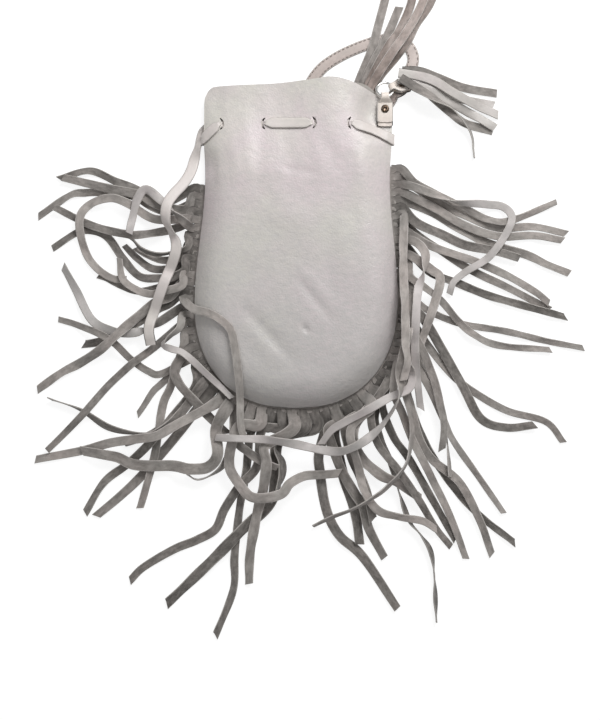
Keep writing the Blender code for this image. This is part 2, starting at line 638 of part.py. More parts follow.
def lay_fringe(heap):
    """Lays every strip and returns, for each root, its path with heights and its turns."""
    middles, widths = strip_roots()
    routed = assign_routes(middles)
    draw = random.Random(7)
    paths = {slot: strip_path(middles[slot], entry[2]) for slot, entry in routed.items()}
    plain = {slot: paths[slot] for slot, entry in routed.items() if entry[0] < 2}
    strips = []
    for slot in range(len(middles)):
        if slot in routed:
            layer, turn = routed[slot][:2]
            path = paths[slot]
        else:
            layer, turn = 0, draw.uniform(-15.0, 15.0)
            path = filler_path(slot, middles, plain)
        strips.append((layer, slot % 2, slot, turn, path))
    laid = {}
    for layer, _, slot, turn, path in sorted(strips, key=lambda strip: strip[:3]):
        share = np.linspace(0.0, 1.0, len(path))
        turns = math.radians(turn) * smooth(0.12, 0.45, share)
        root = band_height(on_seam(middles[slot], 0.0)[1])
        heights = heap.lay(path, STRIP_WIDTH, STRIP_THICKNESS, turns, fixed=[root])
        laid[slot] = (np.column_stack([path, heights]), turns)
    return middles, widths, laid


def add_fringe(name, slots, middles, widths, laid, finish):
    """One length of the band with its strips, each strip grown out of the band's outer edge."""
    shape = bmesh.new()
    rows = []
    for slot in slots:
        for end in (-0.5, 0.5):
            length = middles[slot] + end * widths[slot]
            height = band_height(on_seam(length, 0.0)[1])
            row = []
            for offset, rise in ((-BAND_INSIDE, 0.5), (BAND_OUTSIDE, 0.5), (BAND_OUTSIDE, -0.5),
                                 (-BAND_INSIDE, -0.5)):
                place = on_seam(length, offset)
                row.append(shape.verts.new((place[0], place[1], height + rise * STRIP_THICKNESS)))
            rows.append(row)
    for i, (one, two) in enumerate(zip(rows, rows[1:])):
        for a, b in ((0, 1), (2, 3), (3, 0)):
            shape.faces.new((one[a], one[b], two[b], two[a]))
        if i % 2:
            shape.faces.new((one[1], one[2], two[2], two[1]))
    shape.faces.new(rows[0])
    shape.faces.new(rows[-1][::-1])
    for i, slot in enumerate(slots):
        points, turns = laid[slot]
        first = [rows[2 * i][1], rows[2 * i + 1][1], rows[2 * i + 1][2], rows[2 * i][2]]
        taper = np.interp(np.arange(len(points)), (0, 2, len(points) - 1), (1.0, 1.0, 0.94))
        rings = ribbon_rings(points, STRIP_WIDTH * taper, STRIP_THICKNESS, turns)
        loft(shape, rings[1:], first=first, cap_start=False)
    return add_object(name, shape, finish, POUCH)


# Panels.


def add_panel(name, under, rim, finish):
    """A panel lofted over the outline and thickened outwards by a Solidify modifier."""
    shape = bmesh.new()
    columns = np.linspace(0.0, 1.0, 19)
    share = 0.45 * columns + 0.55 * (1.0 - np.cos(math.pi * columns)) / 2
    rows = []
    rim_start = 78.0
    right_end = float(rim(1.0))
    for t in np.linspace(1.0, 0.0, 6)[:-1]:
        left_y = rim_start + (MOUTH_Y - rim_start) * t
        right_y = rim_start + (right_end - rim_start) * t
        x = left_x(left_y) + (right_x(right_y) - left_x(left_y)) * share
        rows.append((x, rim_start + (rim(share) - rim_start) * t))
    bowl = WIDEST_Y + (BOTTOM_Y - WIDEST_Y) * np.sin(np.radians(np.linspace(0.0, 87.5, 11)))
    neck = np.linspace(rim_start, 50.0, 5)[:-1]
    body = np.linspace(50.0, WIDEST_Y, 6)[:-1]
    for y in np.concatenate([neck, body, bowl]):
        rows.append((left_x(y) + (right_x(y) - left_x(y)) * share, np.full(len(share), y)))
    verts = []
    for x, y in rows:
        height = under(x, y)
        verts.append([shape.verts.new(place) for place in zip(x, y, height)])
    for one, two in zip(verts, verts[1:]):
        for i in range(len(one) - 1):
            shape.faces.new((one[i], two[i], two[i + 1], one[i + 1]))
    panel = add_object(name, shape, finish, POUCH)
    up = sum(face.normal.z for face in panel.data.polygons)
    thick = panel.modifiers.new("leather", "SOLIDIFY")
    thick.thickness = LEATHER * MM
    thick.offset = 1.0 if up > 0 else -1.0
    return panel


def cut_slot(panel, name, x, y, height, lean=0.0):
    """A lace slot with rounded ends, cut square to the leather."""
    shape = bmesh.new()
    for end in (-1.0, 1.0):
        place = Matrix.Translation((0.0, end * (SLOT_LENGTH - SLOT_WIDTH) / 2, 0.0))
        bmesh.ops.create_cone(shape, cap_ends=True, segments=12, radius1=SLOT_WIDTH / 2,
                              radius2=SLOT_WIDTH / 2, depth=12.0, matrix=place)
    hull = bmesh.ops.convex_hull(shape, input=shape.verts)
    spare = hull["geom_interior"] + hull["geom_unused"]
    inner = [part for part in spare if isinstance(part, bmesh.types.BMVert)]
    bmesh.ops.delete(shape, geom=inner, context="VERTS")
    old = [face for face in shape.faces if face not in set(hull["geom"])]
    bmesh.ops.delete(shape, geom=old, context="FACES_ONLY")
    loose = [edge for edge in shape.edges if not edge.link_faces]
    bmesh.ops.delete(shape, geom=loose, context="EDGES")
    turn = Matrix.Rotation(lean, 4, "Y")
    bmesh.ops.transform(shape, verts=shape.verts, matrix=Matrix.Translation((x, y, height)) @ turn)
    add_cutter(name, shape, panel)


def cut_hole(target, name, place, axis, radius, length):
    """A round hole, such as a rivet's."""
    shape = bmesh.new()
    turn = Vector((0.0, 0.0, 1.0)).rotation_difference(Vector(axis)).to_matrix().to_4x4()
    bmesh.ops.create_cone(shape, cap_ends=True, segments=16, radius1=radius, radius2=radius, depth=length,
                          matrix=Matrix.Translation(place) @ turn)
    add_cutter(name, shape, target)


# Drawstring.


def lace_body_route():
    """The lace from the left slot of the back to its hidden end, through every slot."""
    reach = LACE_CLEARANCE + LACE_THICKNESS / 2
    over = LEATHER + reach
    inside_back = TOP_LIFT + LEATHER + reach
    beneath = TOP_LIFT - GAP - LACE_THICKNESS / 2
    out_right = float(right_x(LACE_WRAP_Y)) + LACE_WRAP_REACH
    out_left = float(left_x(LACE_WRAP_Y)) - LACE_WRAP_REACH
    top_edge = TOP_LIFT + 2 * LEATHER + GAP + 0.1
    (x1, y1), (x2, y2) = BACK_SLOTS
    f1, f2, f3, f4 = FRONT_SLOTS
    route = [lace_flat(x1, y1, inside_back), lace_flat(x2, y2, inside_back), lace_flat(x2, y2, beneath)]
    route += [lace_flat(66.0, 80.5, beneath), lace_flat(out_right, LACE_WRAP_Y, beneath)]
    route += [lace_flat(out_right, LACE_WRAP_Y, top_edge)]
    for t in (0.14, 0.3, 0.5, 0.75):
        x = np.interp(t, (0, 1), (out_right - LACE_WRAP_REACH, f4))
        y = np.interp(t, (0, 1), (LACE_WRAP_Y, SLOT_Y))
        route.append(lace_on_front(x, y, over + 0.7 * (1.0 - t)))
    route += [lace_on_front(f4, SLOT_Y, over), lace_on_front(f4, SLOT_Y, -reach)]
    route += [lace_on_front(x, SLOT_Y, -reach) for x in np.linspace(f4, f3, 5)[1:-1]]
    route += [lace_on_front(f3, SLOT_Y, -reach), lace_on_front(f3, SLOT_Y, over)]
    route += [lace_on_front(x, SLOT_Y, over) for x in np.linspace(f3, f2, 6)[1:-1]]
    route += [lace_on_front(f2, SLOT_Y, over), lace_on_front(f2, SLOT_Y, -reach)]
    route += [lace_on_front(x, SLOT_Y, -reach) for x in np.linspace(f2, f1, 6)[1:-1]]
    route += [lace_on_front(f1, SLOT_Y, -reach), lace_on_front(f1, SLOT_Y, over)]
    for t in (0.3, 0.55, 0.8):
        x = np.interp(t, (0, 1), (f1, out_left + LACE_WRAP_REACH))
        y = np.interp(t, (0, 1), (SLOT_Y, LACE_WRAP_Y))
        route.append(lace_on_front(x, y, over))
    route += [lace_flat(out_left, LACE_WRAP_Y, top_edge), lace_flat(out_left, LACE_WRAP_Y, beneath)]
    end_x, end_y = on_table(*TASSEL_1[0][0])
    route += [lace_flat(-60.0, 82.0, beneath), lace_flat(-8.0, 95.0, beneath)]
    route += [lace_flat(end_x - 2.6, end_y - 1.6, beneath)]
    return route


def lay_lace(heap):
    """Middle line of the whole lace, from its free end, with the direction across it at each point."""
    tail = spline([on_table(*pixel) for pixel in LACE_TAIL], 7.0)
    low = GAP + LACE_THICKNESS / 2 + 0.3
    heights = heap.lay(tail, LACE_WIDTH, LACE_THICKNESS, np.zeros(len(tail)), fixed=[low, low, low],
                       skip=24.0)
    tail = np.column_stack([tail, heights])[::-1]
    across = np.cross(tangents(tail), (0.0, 0.0, 1.0))
    across *= np.where(across @ np.array([0.6, 1.0, 0.0]) < 0, -1.0, 1.0)[:, None]
    (x1, y1), _ = BACK_SLOTS
    under = [lace_flat(-65.0, 90.0, low), lace_flat(x1, y1, low)]
    rows = list(np.column_stack([tail, across])) + under + lace_body_route()
    return rounded(rows, LACE_BEND)


# Tabs, ring, rivets, strap and tassels.


def upper_leaf(filling):
    """Height of the middle of a tab's upper leaf over the ring's wire, with what lies between the leaves."""
    return -FOLD_BORE + GAP + filling + TAB_LEATHER / 2


def tab_path(fold, away, normal, lower, upper, filling):
    """Middle line of a leather tab folded round the ring: lower leaf, fold, upper leaf."""
    middle = FOLD_BORE + TAB_LEATHER / 2
    places = [(lower, -middle), (lower * 0.5, -middle), (0.0, -middle)]
    for angle in np.linspace(-0.5, -1.75, 11)[1:] * math.pi:
        places.append((middle * math.cos(angle), middle * math.sin(angle)))
    height = upper_leaf(filling)
    places += [(FOLD_BORE + 2.4, height), ((FOLD_BORE + 2.4 + upper) / 2, height), (upper, height)]
    return np.array([fold + along * away + rise * normal for along, rise in places]), np.array(places)[:, 0]


def add_tab(name, fold, away, across, normal, lower, upper, filling, finish, origin):
    points, along = tab_path(fold, away, normal, lower, upper, filling)
    width = np.interp(along, (0.5, 6.0), (FOLD_WIDTH, TAB_WIDTH))
    rings = ribbon_rings(points, width, TAB_LEATHER, across=np.tile(across, (len(points), 1)))
    shape = bmesh.new()
    loft(shape, rings)
    return add_object(name, shape, finish, POUCH, origin)


def add_rivet(name, top, bottom, axis, finish, origin):
    """A domed cap on a shank, spread over a washer at the back. Top and bottom are the leather's faces."""
    depth = float(np.dot(top - bottom, axis)) + 0.2
    cap = [(RIVET_CAP * math.sin(a), 0.35 + (RIVET_CAP_HEIGHT - 0.35) * math.cos(a))
           for a in np.linspace(0.0, math.pi / 2, 5)]
    profile = cap + [(RIVET_CAP, 0.0), (RIVET_SHANK, 0.0), (RIVET_SHANK, -depth), (2.6, -depth)]
    profile += [(2.4, -depth - 0.6), (0.0, -depth - 0.6)]
    shape = bmesh.new()
    verts = [shape.verts.new((radius, 0.0, height)) for radius, height in profile]
    edges = [shape.edges.new(pair) for pair in zip(verts, verts[1:])]
    bmesh.ops.spin(shape, geom=verts + edges, angle=2 * math.pi, steps=16, axis=(0, 0, 1), cent=(0, 0, 0))
    bmesh.ops.remove_doubles(shape, verts=shape.verts, dist=0.01)
    turn = Vector((0.0, 0.0, 1.0)).rotation_difference(Vector(axis)).to_matrix().to_4x4()
    seat = top + np.asarray(axis) * 0.1
    bmesh.ops.transform(shape, verts=shape.verts, matrix=Matrix.Translation(seat) @ turn)
    return add_object(name, shape, finish, POUCH, origin)


def ring_frame():
    """The ring's hinge in the first tab, its middle, and the second tab's hinge with its directions."""
    reach = np.linspace(RING_TAB_FOLD_Y - RING_TAB_BACK_LENGTH, RING_TAB_RIVET_Y + 4.0, 12)
    sides = np.array([[-0.5], [0.0], [0.42]]) * TAB_WIDTH
    base = float(front_under(RING_TAB_X + sides, reach[None, :]).max()) + LEATHER * 1.08 + GAP
    fold = np.array([RING_TAB_X, RING_TAB_FOLD_Y, base + FOLD_BORE + TAB_LEATHER])
    sideways = np.array([1.0, 0.0, 0.0])
    downhill = np.array([0.0, math.cos(RING_SLOPE), -math.sin(RING_SLOPE)])
    middle = fold + RING_RADIUS * downhill
    angle = STRAP_TAB_ANGLE
    second = middle + RING_RADIUS * (math.cos(angle) * sideways + math.sin(angle) * downhill)
    along_wire = math.cos(angle) * downhill - math.sin(angle) * sideways
    away = unit(np.cross(along_wire, (0.0, 0.0, 1.0)))
    normal = unit(np.cross(away, along_wire))
    return fold, middle, second, along_wire, away, normal


def add_ring(finish, fold, middle):
    bpy.ops.mesh.primitive_torus_add(major_radius=RING_RADIUS * MM, minor_radius=RING_WIRE * MM,
                                     major_segments=28, minor_segments=8)
    ring = bpy.context.active_object
    ring.name = ring.data.name = "ring"
    place = Matrix.Translation(Vector(middle - fold) * MM) @ Matrix.Rotation(-RING_SLOPE, 4, "X")
    ring.data.transform(place)
    ring.location = Vector(fold) * MM
    ring.data.materials.append(finish)
    for old in list(ring.users_collection):
        old.objects.unlink(ring)
    POUCH.objects.link(ring)
    return ring


def add_ribbon(name, points, width, thickness, finish, across=None, collection=None):
    rings = ribbon_rings(points, np.full(len(points), width), thickness, across=across)
    shape = bmesh.new()
    loft(shape, rings)
    return add_object(name, shape, finish, collection or POUCH)


def add_strap(finish, second, away, normal):
    """The wrist strap: both its ends lie one over the other inside the second tab."""
    rivet = second + away * STRAP_TAB_RIVET
    below = rivet + normal * strap_level(False)
    within = rivet + normal * strap_level(True)
    lead = in_plane((-0.5, -0.87, 0.0), normal)
    leave = in_plane((0.3, 0.95, 0.0), normal)
    first = [below - lead * 3.0, below + lead * 3.0]
    last = [within + leave * 10.0, within + leave * 4.0, within - leave * 3.0]
    middle = [np.array(on_table(x, y) + (z,)) for x, y, z in STRAP_ROUTE]
    smoothed = spline(np.array(first + list(middle) + last), 5.0)
    ends = np.minimum(np.arange(len(smoothed)), np.arange(len(smoothed))[::-1])
    level = np.cross(tangents(smoothed), (0.0, 0.0, 1.0))
    tilted = np.cross(tangents(smoothed), normal)
    share = np.clip((ends - 1.5) / 3.0, 0.0, 1.0)[:, None]
    across = tilted * (1.0 - share) + level * share
    return add_ribbon("strap", smoothed, STRAP_WIDTH, STRAP_THICKNESS, finish, across=across), smoothed


def in_plane(direction, normal):
    direction = np.array(direction)
    return unit(direction - (direction @ normal) * normal)


def strap_level(within):
    """Height of the strap's middle over the ring's wire: between the tab's leaves, or under the lower one."""
    if within:
        return -FOLD_BORE + GAP + STRAP_THICKNESS / 2
    return -FOLD_BORE - TAB_LEATHER - GAP - STRAP_THICKNESS / 2


def add_tassel(name, routes, heap, finish, head_size, level, rise):
    """Strips held in a wrapped head. Each strip starts a little higher in the head than the one before."""
    starts = []
    strips = []
    for i, route in enumerate(routes):
        path = spline([on_table(*pixel) for pixel in route], 9.0)
        start = level + TASSEL_THICKNESS / 2 + rise * i
        heights = heap.lay(path, TASSEL_WIDTH, TASSEL_THICKNESS, np.zeros(len(path)), fixed=[start, start],
                           skip=15.0, clearance=0.2)
        strips.append(np.column_stack([path, heights]))
        starts.append(strips[-1][0])
    starts = np.array(starts)
    heading = unit((strips[0][1] - strips[0][0])[:2])
    low, high = float(starts[0, 2]) - 0.75 * TASSEL_THICKNESS, float(starts[-1, 2]) + 0.75 * TASSEL_THICKNESS
    middle = starts[:, :2].mean(axis=0) + heading * head_size[0] * 0.2
    shape = bmesh.new()
    turn = Matrix.Rotation(math.atan2(heading[1], heading[0]), 4, "Z")
    size = Matrix.Diagonal((head_size[0], head_size[1], high - low, 1.0))
    place = Matrix.Translation((middle[0], middle[1], (high + low) / 2))
    bmesh.ops.create_cube(shape, size=1.0, matrix=place @ turn @ size)
    bmesh.ops.bevel(shape, geom=shape.edges[:], offset=0.4, segments=1, affect="EDGES")
    tassel = add_object(name, shape, finish, POUCH)
    for i, points in enumerate(strips):
        width = np.linspace(TASSEL_WIDTH, TASSEL_WIDTH * 0.85, len(points))
        shape = bmesh.new()
        loft(shape, ribbon_rings(points, width, TASSEL_THICKNESS))
        add_cutter(f"{name}_strip_{i + 1}", shape, tassel, "UNION")
    return tassel


def build():
    pearl = material("pearl_leather", (0.72, 0.67, 0.64), 0.42)
    pearl_back = material("pearl_leather_back", (0.70, 0.65, 0.62), 0.45)
    lace_leather = material("lace_leather", (0.71, 0.66, 0.63), 0.45)
    tab_leather = material("tab_leather", (0.70, 0.65, 0.61), 0.45)
    strap_tab_leather = material("strap_tab_leather", (0.70, 0.65, 0.60), 0.42)
    strap_leather = material("strap_leather", (0.55, 0.47, 0.43), 0.5)
    tassel_leather = material("tassel_leather", (0.52, 0.48, 0.46), 0.6)
    tassel_leather_2 = material("tassel_leather_2", (0.55, 0.51, 0.49), 0.6)
    brass = material("antique_brass", (0.33, 0.24, 0.16), 0.35, 1.0)
    brass_2 = material("antique_brass_2", (0.30, 0.22, 0.15), 0.38, 1.0)
    nickel = material("nickel", (0.75, 0.75, 0.74), 0.2, 1.0)

    front = add_panel("front_panel", front_under, front_rim, pearl)
    back = add_panel("back_panel", back_under, back_rim, pearl_back)
    for i, x in enumerate(FRONT_SLOTS):
        normal = front_normal(x, SLOT_Y)
        middle = on_front(x, SLOT_Y, LEATHER / 2)
        cut_slot(front, f"front_slot_{i + 1}", x, SLOT_Y, middle[2], math.atan2(normal[0], normal[2]))
    for i, (x, y) in enumerate(BACK_SLOTS):
        cut_slot(back, f"back_slot_{i + 1}", x, y, float(back_under(x, y)) + LEATHER / 2)

    heap = Heap()
    heap.add_pouch()
    middles, widths, laid = lay_fringe(heap)
    start = 0
    for i, (name, share) in enumerate(SECTION_SHARES.items()):
        end = int(round(share * len(middles)))
        suede = material(f"suede_{i + 1}", (0.33, 0.30, 0.27), 0.9)
        add_fringe(name, range(start, end), middles, widths, laid, suede)
        start = end

    lace = lay_lace(heap)
    add_ribbon("drawstring", lace[:, :3], LACE_WIDTH, LACE_THICKNESS, lace_leather, across=lace[:, 3:])

    fold, middle, second, along_wire, away, normal = ring_frame()
    down = np.array([0.0, -1.0, 0.0])
    right = np.array([1.0, 0.0, 0.0])
    up = np.array([0.0, 0.0, 1.0])
    ring_tab = add_tab("ring_tab", fold, down, right, up, RING_TAB_BACK_LENGTH, RING_TAB_LENGTH, 0.0,
                       tab_leather, fold)
    filling = STRAP_THICKNESS + GAP
    strap_tab = add_tab("strap_tab", second, away, along_wire, normal, STRAP_TAB_LENGTH, STRAP_TAB_LENGTH,
                        filling, strap_tab_leather, second)
    add_ring(nickel, fold, middle)

    shank_hole = RIVET_SHANK + GAP
    low = np.array([RING_TAB_X, RING_TAB_RIVET_Y, float(back_under(RING_TAB_X, RING_TAB_RIVET_Y))])
    high = np.array([RING_TAB_X, RING_TAB_RIVET_Y, fold[2] + upper_leaf(0.0) + TAB_LEATHER / 2])
    add_rivet("ring_tab_rivet", high, low, up, brass, high)
    for i, target in enumerate((ring_tab, front, back)):
        cut_hole(target, f"ring_rivet_hole_{i + 1}", (low + high) / 2, up, shank_hole, 24.0)

    strap, strap_points = add_strap(strap_leather, second, away, normal)
    rivet = second + away * STRAP_TAB_RIVET
    upper_face = upper_leaf(filling) + TAB_LEATHER / 2
    lower_face = strap_level(False) - STRAP_THICKNESS / 2
    add_rivet("strap_tab_rivet", rivet + normal * upper_face, rivet + normal * lower_face, normal, brass_2,
              rivet)
    for i, target in enumerate((strap_tab, strap)):
        cut_hole(target, f"strap_rivet_hole_{i + 1}", rivet, normal, shank_hole, 14.0)

    pile = Heap()
    fine = spline(strap_points, 1.0)
    pile.stamp(fine[:, :2], STRAP_WIDTH / 2 + 0.2, fine[:, 2] + STRAP_THICKNESS / 2 + 0.25)
    add_tassel("tassel_1", TASSEL_1, pile, tassel_leather, (7.0, 15.0), 0.4, 0.85)
    tab = second[:2] + away[:2] * np.linspace(-2.0, STRAP_TAB_LENGTH, 12)[:, None]
    tab_top = second[2] + upper_face + RIVET_CAP_HEIGHT + 0.6
    pile.stamp(tab, TAB_WIDTH / 2, np.full(12, tab_top))
    pile.top = np.maximum(pile.top, heap.top)
    add_tassel("tassel_2", TASSEL_2, pile, tassel_leather_2, (7.0, 11.0), tab_top + 0.3, 0.4)


for leftover in list(bpy.data.objects):
    bpy.data.objects.remove(leftover, do_unlink=True)
POUCH = bpy.data.collections.new("fringed_pouch")
CUTTERS = bpy.data.collections.new("cutters")
CUTTERS.hide_render = True
bpy.context.scene.collection.children.link(POUCH)
bpy.context.scene.collection.children.link(CUTTERS)
build()
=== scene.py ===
"""Looks of a fringed leather drawstring pouch that lies on its back on a white table.

Lengths are in millimetres until a mesh is made. +Y runs from the round bottom to the mouth, and the table
is z = 0. Soft strips are laid one after the other over a height map of what already lies there.
"""

import logging
import math
import random
from dataclasses import dataclass, field
from enum import Enum
from typing import Callable

import bpy
import numpy as np
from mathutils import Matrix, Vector


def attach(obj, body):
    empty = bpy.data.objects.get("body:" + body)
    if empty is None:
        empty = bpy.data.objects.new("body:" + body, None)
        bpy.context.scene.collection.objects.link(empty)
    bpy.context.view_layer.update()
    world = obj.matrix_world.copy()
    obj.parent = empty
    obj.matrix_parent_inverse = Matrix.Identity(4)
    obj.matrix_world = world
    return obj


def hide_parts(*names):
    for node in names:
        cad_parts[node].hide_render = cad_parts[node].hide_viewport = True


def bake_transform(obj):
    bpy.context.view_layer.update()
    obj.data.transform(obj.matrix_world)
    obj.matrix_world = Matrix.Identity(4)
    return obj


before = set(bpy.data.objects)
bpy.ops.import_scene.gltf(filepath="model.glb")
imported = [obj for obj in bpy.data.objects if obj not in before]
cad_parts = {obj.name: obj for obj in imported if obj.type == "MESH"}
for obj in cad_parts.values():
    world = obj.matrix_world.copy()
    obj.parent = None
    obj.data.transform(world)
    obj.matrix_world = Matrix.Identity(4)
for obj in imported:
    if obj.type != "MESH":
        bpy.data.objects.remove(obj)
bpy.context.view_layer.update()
LOG = logging.getLogger("pouch")
MM = 0.001  # metres

# Where photo pixels lie on the table, for the routes of the soft pieces.
MM_PER_PIXEL = 0.75
PIXEL_X0 = 295.0
PIXEL_Y0 = 246.0
PHOTO_CENTRE = (300.0, 360.0)
PHOTO_HEIGHT = 720.0

Array = np.ndarray
Piece = bpy.types.Object
Output = bpy.types.NodeSocket
Material = bpy.types.Material
Materials = dict[str, Material]
Height = Callable[..., Array]
Route = tuple[tuple[float, float], ...]
# What the input of a shader node takes: a number, a colour or place, or the output of another node.
Value = float | tuple[float, ...] | Output

